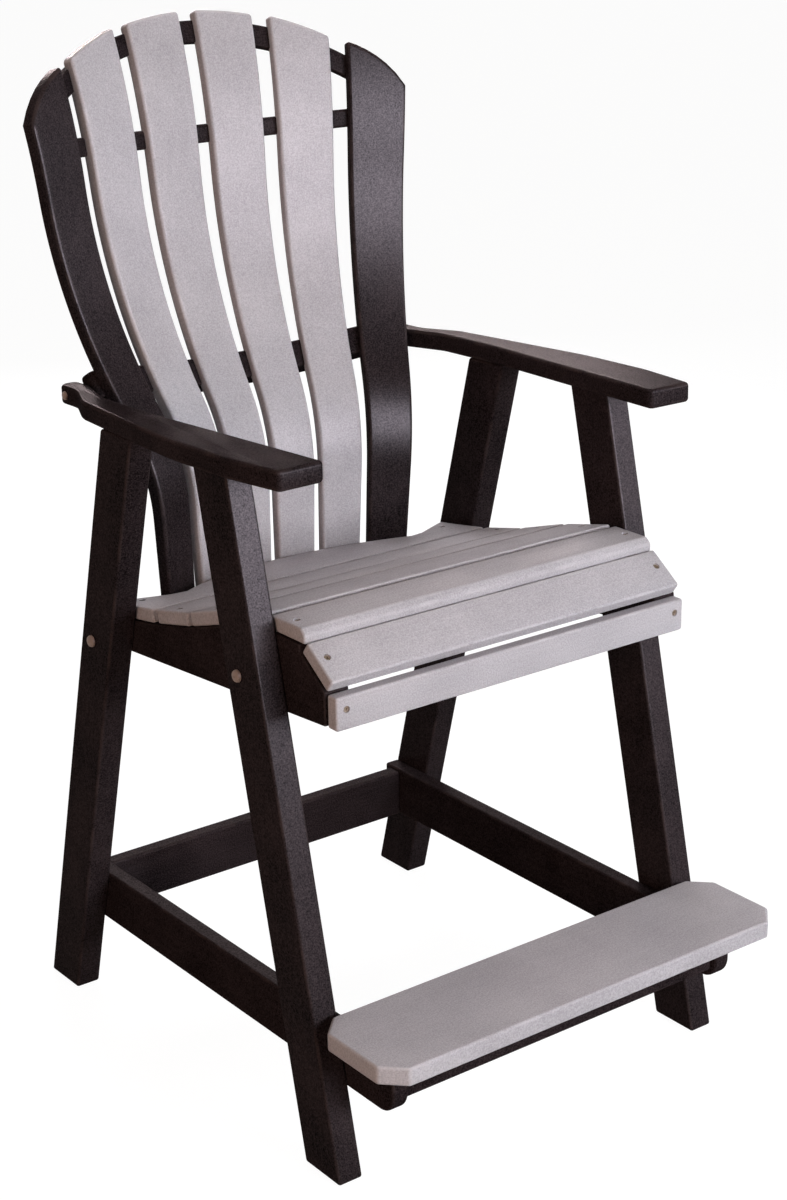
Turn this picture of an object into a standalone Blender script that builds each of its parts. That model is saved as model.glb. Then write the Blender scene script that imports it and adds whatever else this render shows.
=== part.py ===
# Bar height adirondack chair: a bolted frame of thick plastic boards with a scooped slat seat,
# a fan back of six bent slats, two flat arms and a footrest.
# Metres, +Z up. The chair faces -Y, and "left" is -X, the left side as seen from the front.
import math

import bmesh
import bpy
from mathutils import Matrix, Vector

MM = 0.001

# Clearances
FIT = 0.3 * MM              # between boards that lie on each other, and round a fastener
SEAT_TO_BACK_GAP = 3 * MM   # between the rear seat slat and the back slats
SLAT_END_GAP = 4 * MM       # between a seat slat's end and the leg beside it
RAIL_BITE = 1 * MM          # depth of the seats cut in the back rails for the back slats
OVERCUT = 2 * MM            # how far a cutter stands out of the face that it opens

# Board stock and edges
EDGE_ROUND = 4 * MM         # rounding along the edges of the dark boards
SLAT_EDGE_ROUND = 2.5 * MM  # rounding along the edges of the light boards

# Legs
LEG_THICKNESS = 38 * MM
LEG_WIDTH = 75 * MM
LEG_CLEAR_SPAN = 594 * MM   # between the inner faces of the left and right legs
FOOT_SPREAD = 678 * MM      # between the middles of the front and rear feet
FRONT_LEAN = math.radians(12.65)
REAR_LEAN = math.radians(15.1)

# Arms: widths are counted from the inner faces of the legs
ARM_HEIGHT = 945 * MM       # top of the arm at its front end
ARM_THICKNESS = 25 * MM
ARM_FALL = math.radians(1.03)
ARM_FRONT_Y = -294 * MM
ARM_OVERHANG = 19 * MM      # past the legs' outer faces, where the arm is widest
ARM_NOSE_OUTSET = 35 * MM
ARM_NOSE_INSET = 27 * MM
ARM_NOSE_SKEW = 2 * MM
ARM_NOSE_RUN = 100 * MM     # from the front end to the widest stretch
ARM_WIDE_RUN = 224 * MM     # from the front end to the end of the widest stretch
ARM_TAPER_RUN = 190 * MM    # from the taper to the rear end
ARM_TAPER = 17 * MM
ARM_SHOULDER_RUN = 110 * MM  # from the shoulder to the rear end
ARM_SHOULDER = 25 * MM
ARM_WAIST_INSET = 3 * MM
ARM_WAIST_RUN = 230 * MM
ARM_TAIL_RUN = 50 * MM
ARM_TAIL_INNER_RUN = 38 * MM
ARM_TAIL_WIDTH = 30 * MM
ARM_TAIL_CLEARANCE = 15.3 * MM  # between the tail and the outer back slat
ARM_TAIL_MARGIN = 19 * MM   # from the tail screw to the rear end
ARM_NOSE_INNER_ROUND = 12 * MM
ARM_NOSE_OUTER_ROUND = 7 * MM
ARM_LONG_ROUND = 500 * MM
ARM_SHORT_ROUND = 60 * MM
ARM_TAIL_ROUND = 12 * MM

# Seat: a nose and an apron in front, a level first slat, three scooped slats and a rear slat
SEAT_HEIGHT = 729 * MM
SEAT_SLAT_THICKNESS = 20 * MM
SEAT_FRONT_Y = -273 * MM
FIRST_SLAT_DEPTH = 75 * MM
FIRST_SLAT_CHAMFER = 8 * MM
SCOOP_SLAT_DEPTH = 92 * MM
LAST_SCOOP_DEPTH = 82 * MM
SCOOP_SLOPES = (math.radians(13), math.radians(17.2), math.radians(12.8))
REAR_SLAT_SLOPE = math.radians(9)
REAR_SLAT_END_SETBACK = 19 * MM  # of its ends, in front of the back's base
REAR_SLAT_CORNER = 71 * MM   # length of the slanted corner beside each leg
REAR_SLAT_SLANT = 43 * MM
REAR_SLAT_NOTCH = 22 * MM    # from the slanted corner to the end of the hollowed edge
REAR_SLAT_CURVE = 0.64       # radius of the hollowed edge over that of the back
SEAT_SLAT_GAP = 8 * MM
NOSE_DEPTH = 63 * MM
NOSE_SLOPE = math.radians(36)
NOSE_SET_FORWARD = 6 * MM
NOSE_SET_DOWN = 16 * MM
APRON_HEIGHT = 45 * MM
APRON_DROP = 2.3 * MM
SEAT_RAIL_THICKNESS = 38 * MM
SEAT_RAIL_SLOPE = math.radians(4.25)
SEAT_RAIL_RISE = 2 * MM      # lower edge of the rails, above that of the apron
SEAT_RAIL_REAR_MARGIN = 6 * MM
SEAT_RAIL_REAR_HEIGHT = 27 * MM

# Back: identical bent slats, each set round a circle, turned and fanned by a fixed step
BACK_SLATS = 6
BACK_BASE_Y = 218 * MM      # front face of the back on the chair's middle plane
BACK_BASE_DROP = 129 * MM   # below the seat's front edge
BACK_RADIUS = 549 * MM
BACK_SPREAD = 0.6094        # share of the span between the legs that the slats' feet take up
BACK_TURN = math.radians(9.06)
BACK_FAN = math.radians(1.19)
BACK_THICKNESS = 15 * MM
BACK_FOOT = -22 * MM        # lower end of a slat, along the slat from the base height
BACK_WIDTH_BASE = 56 * MM
BACK_WIDTH_GAIN = 0.0435    # widening for each unit along the slat
BACK_STRAIGHT = 150 * MM    # straight foot of a slat, above the base
BACK_LOWER_BEND = 150 * MM  # length that bends backwards
BACK_MIDDLE_BEND = 325 * MM  # length that bends upright again
BACK_UPPER_BEND = 245 * MM  # length that bends backwards at the head
BACK_LOWER_LEAN = math.radians(31.5)
BACK_MIDDLE_LEAN = math.radians(5)
BACK_UPPER_LEAN = math.radians(19)
CROWN_TOP = 847 * MM        # top of the back on the middle plane, along the slat
CROWN_RADIUS = 535 * MM
CROWN_SPREAD = 1.602        # slat spacing at the top, measured round the back, over that at the feet

# Rails behind the back slats: place along the slat, thickness and depth
BOTTOM_RAIL_AT = -8 * MM
BOTTOM_RAIL_THICKNESS = 25 * MM
BOTTOM_RAIL_DEPTH = 56 * MM   # at its ends
BOTTOM_RAIL_NUT_GAP = 15 * MM
ARM_RAIL_RISE = 3.3 * MM    # in the middle of the back, above the middle of the arm tails
ARM_RAIL_THICKNESS = 40 * MM
ARM_RAIL_DEPTH = 52 * MM
ARM_RAIL_CORNER = 18 * MM
UPPER_RAIL_AT = 672 * MM
UPPER_RAIL_THICKNESS = 26 * MM
UPPER_RAIL_DEPTH = 40 * MM
UPPER_RAIL_REACH = 2.6      # end of the rail, counted in slats from the middle
CROWN_RAIL_HEIGHT = 32 * MM
CROWN_RAIL_DEPTH = 20 * MM
CROWN_RAIL_DROP = 11 * MM
CROWN_RAIL_RADIUS = 500 * MM
CROWN_RAIL_REACH = 2.55

# Lower frame and footrest
STRETCHER_THICKNESS = 25 * MM
STRETCHER_HEIGHT = 78.7 * MM
STRETCHER_REAR_INSET = 1.5 * MM  # of the rear end, inside the rear leg's rear face
STRETCHER_NOSE_ROUND = 30 * MM
REAR_STRETCHER_INSET = 14 * MM
REAR_STRETCHER_DROP = 3 * MM
FOOTREST_WIDTH = 684 * MM
FOOTREST_DEPTH = 164 * MM
FOOTREST_HEIGHT = 225 * MM
FOOTREST_THICKNESS = 26 * MM
FOOTREST_CLIP = 30 * MM
FOOTREST_LEG_GAP = 6 * MM
FOOTREST_OVERHANG = 57 * MM  # in front of the side stretchers
CROSS_RAIL_INSET = 10 * MM   # behind the stretchers' front ends
CROSS_RAIL_RISE = 15 * MM    # above the stretchers' lower edge

# Fasteners
BOLT_RADIUS = 4 * MM
BOLT_CAP_RADIUS = 8.5 * MM
BOLT_CAP_HEIGHT = 4 * MM
BOLT_SETBACK = 10 * MM
FRONT_BOLT_DROP = 77 * MM   # below the seat's front edge
REAR_BOLT_DROP = 136 * MM
NUT_RADIUS = 8 * MM
NUT_HEIGHT = 7 * MM
SCREW_RADIUS = 2.5 * MM
SCREW_HEAD_RADIUS = 4.5 * MM
SCREW_HEAD_HEIGHT = 3.5 * MM
SCREW_SINK = 1 * MM
SEAT_SCREW_LENGTH = 42 * MM
STRETCHER_SCREW_LENGTH = 48 * MM
TAIL_SCREW_LENGTH = 62 * MM
TAIL_SCREW_INSET = 5.7 * MM  # in front of the middle of the arm level rail's rear edge
TAIL_CAP_RADIUS = 6 * MM
TAIL_CAP_HEIGHT = 2.5 * MM
REAR_SLAT_SCREW_SETBACK = 70 * MM
REAR_SLAT_SCREW_INSET = 11 * MM
FRONT_SCREW_RISE = 5 * MM   # screws of the apron and the nose, above their middle

# Values that follow from the sizes above
LEG_INNER_X = LEG_CLEAR_SPAN / 2
SEAT_RAIL_OUTER_X = LEG_INNER_X - FIT
SEAT_RAIL_X = SEAT_RAIL_OUTER_X - SEAT_RAIL_THICKNESS / 2
SEAT_RAIL_INNER_X = SEAT_RAIL_OUTER_X - SEAT_RAIL_THICKNESS
SEAT_SLAT_HALF = LEG_INNER_X - SLAT_END_GAP
STRETCHER_X = LEG_INNER_X - FIT - STRETCHER_THICKNESS / 2
STRETCHER_INNER_X = LEG_INNER_X - FIT - STRETCHER_THICKNESS
LEG_OUTER_X = LEG_INNER_X + LEG_THICKNESS
FRONT_LEG_HALF = LEG_WIDTH / math.cos(FRONT_LEAN) / 2
REAR_LEG_HALF = LEG_WIDTH / math.cos(REAR_LEAN) / 2
FOOTREST_BOTTOM = FOOTREST_HEIGHT - FOOTREST_THICKNESS
FRONT_LEG_FACE_Y = -FOOT_SPREAD / 2 - FRONT_LEG_HALF + math.tan(FRONT_LEAN) * FOOTREST_BOTTOM
FOOTREST_REAR_Y = FRONT_LEG_FACE_Y - FOOTREST_LEG_GAP
FOOTREST_FRONT_Y = FOOTREST_REAR_Y - FOOTREST_DEPTH
STRETCHER_TOP = FOOTREST_BOTTOM - FIT
STRETCHER_BOTTOM = STRETCHER_TOP - STRETCHER_HEIGHT
STRETCHER_FRONT_Y = FOOTREST_FRONT_Y + FOOTREST_OVERHANG
REAR_LEG_FACE_Y = FOOT_SPREAD / 2 + REAR_LEG_HALF - math.tan(REAR_LEAN) * STRETCHER_TOP
STRETCHER_REAR_Y = REAR_LEG_FACE_Y - STRETCHER_REAR_INSET
REAR_STRETCHER_FRONT_Y = STRETCHER_REAR_Y - REAR_STRETCHER_INSET - STRETCHER_THICKNESS
CROSS_RAIL_FRONT_Y = STRETCHER_FRONT_Y + CROSS_RAIL_INSET
CROSS_RAIL_BOTTOM = STRETCHER_BOTTOM + CROSS_RAIL_RISE
BACK_BASE_Z = SEAT_HEIGHT - BACK_BASE_DROP
OUTER_SLAT = (BACK_SLATS - 1) / 2
BACK_STEP = math.asin(LEG_INNER_X * BACK_SPREAD / BACK_RADIUS) / OUTER_SLAT
CROWN_PITCH = CROWN_SPREAD * LEG_INNER_X * BACK_SPREAD / OUTER_SLAT
BACK_BENDS = (
    (BACK_STRAIGHT, 0.0),
    (BACK_LOWER_BEND, BACK_LOWER_LEAN),
    (BACK_MIDDLE_BEND, BACK_MIDDLE_LEAN),
    (BACK_UPPER_BEND, BACK_UPPER_LEAN),
)

# Plastic and metal finishes: base colour, roughness, metallic
FINISHES = {
    "dark_board": ((0.030, 0.022, 0.022), 0.55, 0.0),
    "light_board": ((0.46, 0.43, 0.43), 0.5, 0.0),
    "tan_cap": ((0.42, 0.29, 0.21), 0.5, 0.0),
    "steel": ((0.55, 0.53, 0.50), 0.35, 1.0),
}

SIDES = (("left", -1), ("right", 1))
LEG_PLACES = (("front", -FOOT_SPREAD / 2, FRONT_LEAN), ("rear", FOOT_SPREAD / 2, -REAR_LEAN))
BOLT_HEIGHTS = {"front": SEAT_HEIGHT - FRONT_BOLT_DROP, "rear": SEAT_HEIGHT - REAR_BOLT_DROP}


# Middle of a leg in the side view, at a height
def leg_middle(foot_y, lean, z):
    return foot_y + math.tan(lean) * z


REAR_BOLT_Y = leg_middle(FOOT_SPREAD / 2, -REAR_LEAN, BOLT_HEIGHTS["rear"]) + BOLT_SETBACK
BOTTOM_RAIL_STEP_Y = REAR_BOLT_Y + NUT_RADIUS + BOTTOM_RAIL_NUT_GAP
IN_YZ = Matrix(((0, 0, 1, 0), (1, 0, 0, 0), (0, 1, 0, 0), (0, 0, 0, 1)))

for old in list(bpy.data.objects):
    bpy.data.objects.remove(old, do_unlink=True)

PARTS = bpy.data.collections.new("bar_height_adirondack_chair")
CUTTERS = bpy.data.collections.new("cutters")
bpy.context.scene.collection.children.link(PARTS)
bpy.context.scene.collection.children.link(CUTTERS)


def new_material(name, finish):
    colour, roughness, metallic = FINISHES[finish]
    material = bpy.data.materials.new(name + "_finish")
    material.use_nodes = True
    shader = material.node_tree.nodes["Principled BSDF"]
    shader.inputs["Base Color"].default_value = (*colour, 1.0)
    shader.inputs["Roughness"].default_value = roughness
    shader.inputs["Metallic"].default_value = metallic
    return material


def add_part(name, mesh, finish, matrix=None):
    part = bpy.data.objects.new(name, mesh)
    PARTS.objects.link(part)
    part.parent = CHAIR
    if matrix is not None:
        part.matrix_local = matrix
    part.data.materials.append(new_material(name, finish))
    return part


def add_cutter(name, mesh, matrix=None):
    cutter = bpy.data.objects.new(name, mesh)
    CUTTERS.objects.link(cutter)
    cutter.parent = CHAIR
    cutter.hide_render = True
    cutter.display_type = "WIRE"
    if matrix is not None:
        cutter.matrix_local = matrix
    return cutter


def cut(part, cutter):
    boolean = part.modifiers.new(cutter.name, "BOOLEAN")
    boolean.operation = "DIFFERENCE"
    boolean.solver = "EXACT"
    boolean.object = cutter


def round_edges(part, radius, segments=2):
    bevel = part.modifiers.new("rounded_edges", "BEVEL")
    bevel.width = radius
    bevel.segments = segments
    bevel.limit_method = "ANGLE"
    bevel.angle_limit = math.radians(40)


# Outline of corners (x, y) or (x, y, radius), with each given radius drawn as an arc
def rounded(corners, step=math.radians(15)):
    outline = []
    count = len(corners)
    for index, corner in enumerate(corners):
        here = Vector(corner[:2])
        radius = corner[2] if len(corner) > 2 else 0.0
        if radius == 0.0:
            outline.append(here)
            continue
        before = (Vector(corners[index - 1][:2]) - here).normalized()
        after = (Vector(corners[(index + 1) % count][:2]) - here).normalized()
        half = before.angle(after) / 2
        sweep = math.pi - 2 * half
        reach = radius / math.tan(half)
        centre = here + (before + after).normalized() * (radius / math.sin(half))
        start = here + before * reach - centre
        turn = 1 if start.cross(here + after * reach - centre) > 0 else -1
        pieces = max(1, round(sweep / step))
        for piece in range(pieces + 1):
            angle = turn * sweep * piece / pieces
            outline.append(centre + Matrix.Rotation(angle, 2) @ start)
    return outline


# Flat board: a filled outline in its own plane, thickened evenly to both sides
def board_mesh(name, outline, thickness):
    curve = bpy.data.curves.new(name, "CURVE")
    curve.dimensions = "2D"
    curve.fill_mode = "BOTH"
    curve.extrude = thickness / 2
    spline = curve.splines.new("POLY")
    spline.points.add(len(outline) - 1)
    for point, place in zip(spline.points, outline):
        point.co = (place[0], place[1], 0.0, 1.0)
    spline.use_cyclic_u = True
    drawn = bpy.data.objects.new(name, curve)
    bpy.context.scene.collection.objects.link(drawn)
    bpy.context.view_layer.update()
    mesh = bpy.data.meshes.new_from_object(drawn.evaluated_get(bpy.context.evaluated_depsgraph_get()))
    bpy.data.objects.remove(drawn, do_unlink=True)
    work = bmesh.new()
    work.from_mesh(mesh)
    bmesh.ops.remove_doubles(work, verts=work.verts, dist=0.00001)
    bmesh.ops.dissolve_limit(work, angle_limit=math.radians(0.5), verts=work.verts, edges=work.edges)
    bmesh.ops.recalc_face_normals(work, faces=work.faces)
    work.to_mesh(mesh)
    work.free()
    mesh.name = name
    return mesh


def add_board(name, finish, outline, thickness, matrix, radius=EDGE_ROUND):
    part = add_part(name, board_mesh(name, outline, thickness), finish, matrix)
    round_edges(part, radius)
    return part


# Turned shape: radius and height pairs from the top down, spun round Z
def turned_mesh(name, profile):
    work = bmesh.new()
    points = [work.verts.new((radius, 0.0, height)) for radius, height in profile]
    for upper, lower in zip(points, points[1:]):
        work.edges.new((upper, lower))
    mesh = bpy.data.meshes.new(name)
    work.to_mesh(mesh)
    work.free()
    return mesh


def spin(part, steps):
    screw = part.modifiers.new("spin", "SCREW")
    screw.axis = "Z"
    screw.angle = 2 * math.pi
    screw.steps = steps
    screw.render_steps = steps
    screw.use_merge_vertices = True
    screw.merge_threshold = 0.00001


# Frame with its Z axis along a direction and its origin at a point
def facing(point, direction):
    return Matrix.Translation(point) @ direction.to_track_quat("Z", "Y").to_matrix().to_4x4()


# Sunk wood screw: the head's top lies below the face that point is on
def add_screw(name, point, direction, length, boards):
    top = -SCREW_SINK
    neck = top - SCREW_HEAD_HEIGHT
    profile = (
        (0, top),
        (SCREW_HEAD_RADIUS, top),
        (SCREW_RADIUS, neck),
        (SCREW_RADIUS, -length),
        (0, -length),
    )
    matrix = facing(point, direction)
    screw = add_part(name, turned_mesh(name, profile), "steel", matrix)
    spin(screw, 12)
    bore = (
        (0, OVERCUT),
        (SCREW_HEAD_RADIUS + FIT, OVERCUT),
        (SCREW_HEAD_RADIUS + FIT, top - FIT),
        (SCREW_RADIUS + FIT, neck - FIT),
        (SCREW_RADIUS + FIT, -length - FIT),
        (0, -length - FIT),
    )
    hole = add_cutter(name + "_hole", turned_mesh(name + "_hole", bore), matrix)
    spin(hole, 12)
    for board in boards:
        cut(board, hole)


# Capped fastener: a domed cap stands on the face that point is on
def add_capped(name, point, direction, cap, shank_radius, length, boards):
    cap_radius, cap_height = cap
    profile = (
        (0, cap_height),
        (cap_radius * 0.55, cap_height * 0.88),
        (cap_radius * 0.9, cap_height * 0.5),
        (cap_radius, FIT),
        (shank_radius, FIT),
        (shank_radius, -length),
        (0, -length),
    )
    matrix = facing(point, direction)
    fastener = add_part(name, turned_mesh(name, profile), "tan_cap", matrix)
    spin(fastener, 16)
    bore = (
        (0, OVERCUT),
        (shank_radius + FIT, OVERCUT),
        (shank_radius + FIT, -length - FIT),
        (0, -length - FIT),
    )
    hole = add_cutter(name + "_hole", turned_mesh(name + "_hole", bore), matrix)
    spin(hole, 12)
    for board in boards:
        cut(board, hole)
    return hole


# Place in the side view, y and z, of a point moved along and off a line that falls at slope
def along(start, slope, distance, lift=0.0):
    y = start[0] + distance * math.cos(slope) + lift * math.sin(slope)
    z = start[1] - distance * math.sin(slope) + lift * math.cos(slope)
    return y, z


# Crossing of two lines in the side view, each given by a point and its slope
def crossing(first, first_slope, second, second_slope):
    fall_one = -math.tan(first_slope)
    fall_two = -math.tan(second_slope)
    y = (second[1] - first[1] + fall_one * first[0] - fall_two * second[0]) / (fall_one - fall_two)
    return y, first[1] + fall_one * (y - first[0])


# Section of a slat that lies along a line, with its top face on the line
def slat_section(start, slope, depth, thickness):
    return (
        along(start, slope, 0),
        along(start, slope, depth),
        along(start, slope, depth, -thickness),
        along(start, slope, 0, -thickness),
    )


# Back surface: bends of one slat, then its turn and fan round the back
def bend(distance):
    rear = 0.0
    height = 0.0
    lean = 0.0
    left = distance
    for index, (length, end_lean) in enumerate(BACK_BENDS):
        last = index == len(BACK_BENDS) - 1
        run = left if last or left < length else length
        rate = (end_lean - lean) / length
        reached = lean + rate * run
        if abs(rate) < 1e-9:
            rear += run * math.sin(lean)
            height += run * math.cos(lean)
        else:
            rear += (math.cos(lean) - math.cos(reached)) / rate
            height += (math.sin(reached) - math.sin(lean)) / rate
        lean = reached
        left -= run
        if last or left <= 0:
            break
    return rear, height, lean


def back_point(slat, distance, across=0.0, behind=0.0):
    rear, height, lean = bend(distance)
    place = slat * BACK_STEP
    turn = slat * BACK_TURN
    fan = slat * BACK_FAN
    outward = Vector((math.sin(turn), math.cos(turn), 0.0))
    sideways = Vector((math.cos(turn), -math.sin(turn), 0.0))
    up = sideways * math.sin(fan) + Vector((0.0, 0.0, math.cos(fan)))
    width = sideways * math.cos(fan) - Vector((0.0, 0.0, math.sin(fan)))
    base_y = BACK_BASE_Y - BACK_RADIUS * (1 - math.cos(place))
    base = Vector((BACK_RADIUS * math.sin(place), base_y, BACK_BASE_Z))
    square = outward * math.cos(lean) - up * math.sin(lean)
    return base + outward * rear + up * height + width * across + square * behind


# Distance along the middle of the back at which its front face has a height
def distance_at_height(height):
    low = BACK_FOOT
    high = CROWN_TOP
    for _ in range(40):
        middle = (low + high) / 2
        if back_point(0.0, middle).z < height:
            low = middle
        else:
            high = middle
    return low


def slat_width(distance):
    return BACK_WIDTH_BASE + BACK_WIDTH_GAIN * distance


# Height of the crown's arc along the slat, at a distance round the back from the middle
def crown_arc(round_back, radius=CROWN_RADIUS):
    return CROWN_TOP - radius + math.sqrt(radius ** 2 - round_back ** 2)


# Bent sheet: a grid whose points are placed by a function of across (-1 to 1) and up (0 to 1)
def sheet_mesh(name, columns, rows, place):
    work = bmesh.new()
    bmesh.ops.create_grid(work, x_segments=columns, y_segments=rows, size=1.0)
    for point in work.verts:
        point.co = place(point.co.x, (point.co.y + 1) / 2)
    mesh = bpy.data.meshes.new(name)
    work.to_mesh(mesh)
    work.free()
    return mesh


def thicken(part, thickness):
    solidify = part.modifiers.new("thickness", "SOLIDIFY")
    solidify.thickness = thickness
    solidify.offset = -1.0
    solidify.use_even_offset = True


def slat_place(slat, margin=0.0):
    def place(across, up):
        top_width = slat_width(CROWN_TOP) / 2
        top = crown_arc(slat * CROWN_PITCH + across * top_width) + margin
        distance = BACK_FOOT - margin + up * (top - BACK_FOOT + margin)
        half = slat_width(distance) / 2 + margin
        return back_point(slat, distance, across * half, -margin)
    return place


SLAT_ROWS = 20
SLAT_COLUMNS = 4
SLAT_NUMBERS = [index - OUTER_SLAT for index in range(BACK_SLATS)]


def build_back_slats():
    for index, slat in enumerate(SLAT_NUMBERS):
        name = "back_slat_%d" % (index + 1)
        outer = index in (0, BACK_SLATS - 1)
        mesh = sheet_mesh(name, SLAT_COLUMNS, SLAT_ROWS, slat_place(slat))
        part = add_part(name, mesh, "dark_board" if outer else "light_board")
        thicken(part, BACK_THICKNESS)
        round_edges(part, SLAT_EDGE_ROUND)


# One cutter in the shape of all the back slats, larger by the clearance on every side
def build_slat_cutter():
    work = bmesh.new()
    for slat in SLAT_NUMBERS:
        mesh = sheet_mesh("slat_space", SLAT_COLUMNS, SLAT_ROWS, slat_place(slat, FIT))
        work.from_mesh(mesh)
        bpy.data.meshes.remove(mesh)
    mesh = bpy.data.meshes.new("back_slat_spaces")
    work.to_mesh(mesh)
    work.free()
    cutter = add_cutter("back_slat_spaces", mesh)
    thicken(cutter, BACK_THICKNESS + 2 * FIT)
    return cutter


# Plank behind the slats, square to them on the middle plane, with a hollowed front edge
class Plank:
    def __init__(self, distance):
        lean = bend(distance)[2]
        self.distance = distance
        self.origin = back_point(0.0, distance, 0.0, BACK_THICKNESS - RAIL_BITE)
        self.matrix = Matrix.Translation(self.origin) @ Matrix.Rotation(-lean, 4, "X")
        self.rearward = Vector((0.0, math.cos(lean), -math.sin(lean)))
        self.normal = Vector((0.0, math.sin(lean), math.cos(lean)))

    # Point of the front edge at a place counted in slats from the middle
    def front(self, slat):
        distance = self.distance
        for _ in range(8):
            point = back_point(slat, distance, 0.0, BACK_THICKNESS - RAIL_BITE)
            distance -= (point - self.origin).dot(self.normal)
        offset = point - self.origin
        return Vector((offset.x, offset.dot(self.rearward)))

    # Place, counted in slats, where the front edge reaches a distance from the middle plane
    def reach(self, x):
        low = 0.0
        high = float(BACK_SLATS)
        for _ in range(40):
            middle = (low + high) / 2
            if self.front(middle).x < x:
                low = middle
            else:
                high = middle
        return low

    def front_edge(self, reach, pieces=20):
        return [self.front(reach * (2 * piece / pieces - 1)) for piece in range(pieces + 1)]


def build_back_rails(spaces, arm_place):
    bottom = Plank(BOTTOM_RAIL_AT)
    half = SEAT_RAIL_INNER_X - FIT
    edge = bottom.front_edge(BACK_SLATS / 2)
    step = BOTTOM_RAIL_STEP_Y - bottom.origin.y
    rear = step + BOTTOM_RAIL_DEPTH
    shoulder = edge[-1].x + (step - edge[-1].y) / 2
    outline = [(-half, rear), (-half, step), (-shoulder, step)] + [tuple(p) for p in edge]
    outline += [(shoulder, step), (half, step), (half, rear)]
    part = add_board("bottom_back_rail", "dark_board", outline, BOTTOM_RAIL_THICKNESS, bottom.matrix)
    cut(part, spaces)

    rail = arm_place.plank
    half = arm_place.half
    edge = rail.front_edge(rail.reach(half))
    corners = [(-half, edge[0].y + ARM_RAIL_DEPTH, ARM_RAIL_CORNER / 2), (-half, edge[0].y, ARM_RAIL_CORNER)]
    corners += [(*p, 0.0) for p in edge[2:-2]]
    corners += [(half, edge[-1].y, ARM_RAIL_CORNER), (half, edge[-1].y + ARM_RAIL_DEPTH, ARM_RAIL_CORNER / 2)]
    corners += [(p.x, p.y + ARM_RAIL_DEPTH, 0.0) for p in reversed(edge[2:-2])]
    outline = rounded(corners)
    arm_rail = add_board("arm_level_back_rail", "dark_board", outline, ARM_RAIL_THICKNESS, rail.matrix)
    cut(arm_rail, spaces)

    rail = Plank(UPPER_RAIL_AT)
    edge = rail.front_edge(UPPER_RAIL_REACH)
    outline = [tuple(p) for p in edge] + [(p.x, p.y + UPPER_RAIL_DEPTH) for p in reversed(edge)]
    part = add_board("upper_back_rail", "dark_board", outline, UPPER_RAIL_THICKNESS, rail.matrix)
    cut(part, spaces)

    # The crown rail is bent round the back below the slats' tops
    def place(across, up):
        slat = across * CROWN_RAIL_REACH
        top = crown_arc(slat * CROWN_PITCH, CROWN_RAIL_RADIUS) - CROWN_RAIL_DROP
        distance = top - CROWN_RAIL_HEIGHT * (1 - up)
        return back_point(slat, distance, 0.0, BACK_THICKNESS - RAIL_BITE)

    mesh = sheet_mesh("crown_back_rail", 24, 1, place)
    part = add_part("crown_back_rail", mesh, "dark_board")
    thicken(part, CROWN_RAIL_DEPTH)
    round_edges(part, SLAT_EDGE_ROUND)
    cut(part, spaces)
    return arm_rail


# Arms: the underside falls to the rear, and every leg ends below it
def arm_underside(y):
    return ARM_HEIGHT - ARM_THICKNESS / math.cos(ARM_FALL) - math.tan(ARM_FALL) * (y - ARM_FRONT_Y)


# Arm level rail: its place along the slats, and its ends between the arm tails
class ArmRailPlace:
    def __init__(self):
        self.screw_y = BACK_BASE_Y
        for _ in range(6):
            height = arm_underside(self.screw_y) + ARM_THICKNESS / 2 + ARM_RAIL_RISE
            distance = distance_at_height(height)
            edge = back_point(OUTER_SLAT, distance, slat_width(distance) / 2, BACK_THICKNESS)
            self.tail_inner = edge.x + ARM_TAIL_CLEARANCE
            self.half = self.tail_inner - FIT
            self.plank = Plank(distance)
            end = self.plank.front(self.plank.reach(self.half))
            rear = self.plank.origin + self.plank.rearward * (end.y + ARM_RAIL_DEPTH)
            self.screw_y = rear.y - TAIL_SCREW_INSET


def build_arms(rail_place):
    length = rail_place.screw_y + ARM_TAIL_MARGIN - ARM_FRONT_Y
    widest = LEG_OUTER_X + ARM_OVERHANG
    waist = LEG_INNER_X - ARM_WAIST_INSET
    tail_inner = rail_place.tail_inner
    tail_outer = tail_inner + ARM_TAIL_WIDTH
    corners = (
        (LEG_INNER_X - ARM_NOSE_INSET, ARM_NOSE_SKEW, ARM_NOSE_INNER_ROUND),
        (LEG_INNER_X + ARM_NOSE_OUTSET, 0.0, ARM_NOSE_OUTER_ROUND),
        (widest - ARM_NOSE_SKEW, ARM_NOSE_RUN, ARM_LONG_ROUND / 3),
        (widest, ARM_WIDE_RUN, ARM_LONG_ROUND),
        (widest - ARM_TAPER, length - ARM_TAPER_RUN, ARM_LONG_ROUND),
        (widest - ARM_SHOULDER, length - ARM_SHOULDER_RUN, ARM_SHORT_ROUND),
        (tail_outer, length - ARM_TAIL_RUN, ARM_SHORT_ROUND),
        (tail_outer, length, ARM_TAIL_ROUND),
        (tail_inner, length, ARM_TAIL_ROUND),
        (tail_inner, length - ARM_TAIL_INNER_RUN, ARM_SHORT_ROUND),
        (waist, length - ARM_SHOULDER_RUN, ARM_SHORT_ROUND),
        (waist, length - ARM_WAIST_RUN, ARM_LONG_ROUND),
    )
    top = Matrix.Translation((0.0, ARM_FRONT_Y, ARM_HEIGHT)) @ Matrix.Rotation(-ARM_FALL, 4, "X")
    matrix = top @ Matrix.Translation((0.0, 0.0, -ARM_THICKNESS / 2))
    arms = {}
    for side, sign in SIDES:
        outline = rounded([(sign * x, y, radius) for x, y, radius in corners])
        arms[side] = add_board(side + "_arm", "dark_board", outline, ARM_THICKNESS, matrix)
    return arms


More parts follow.
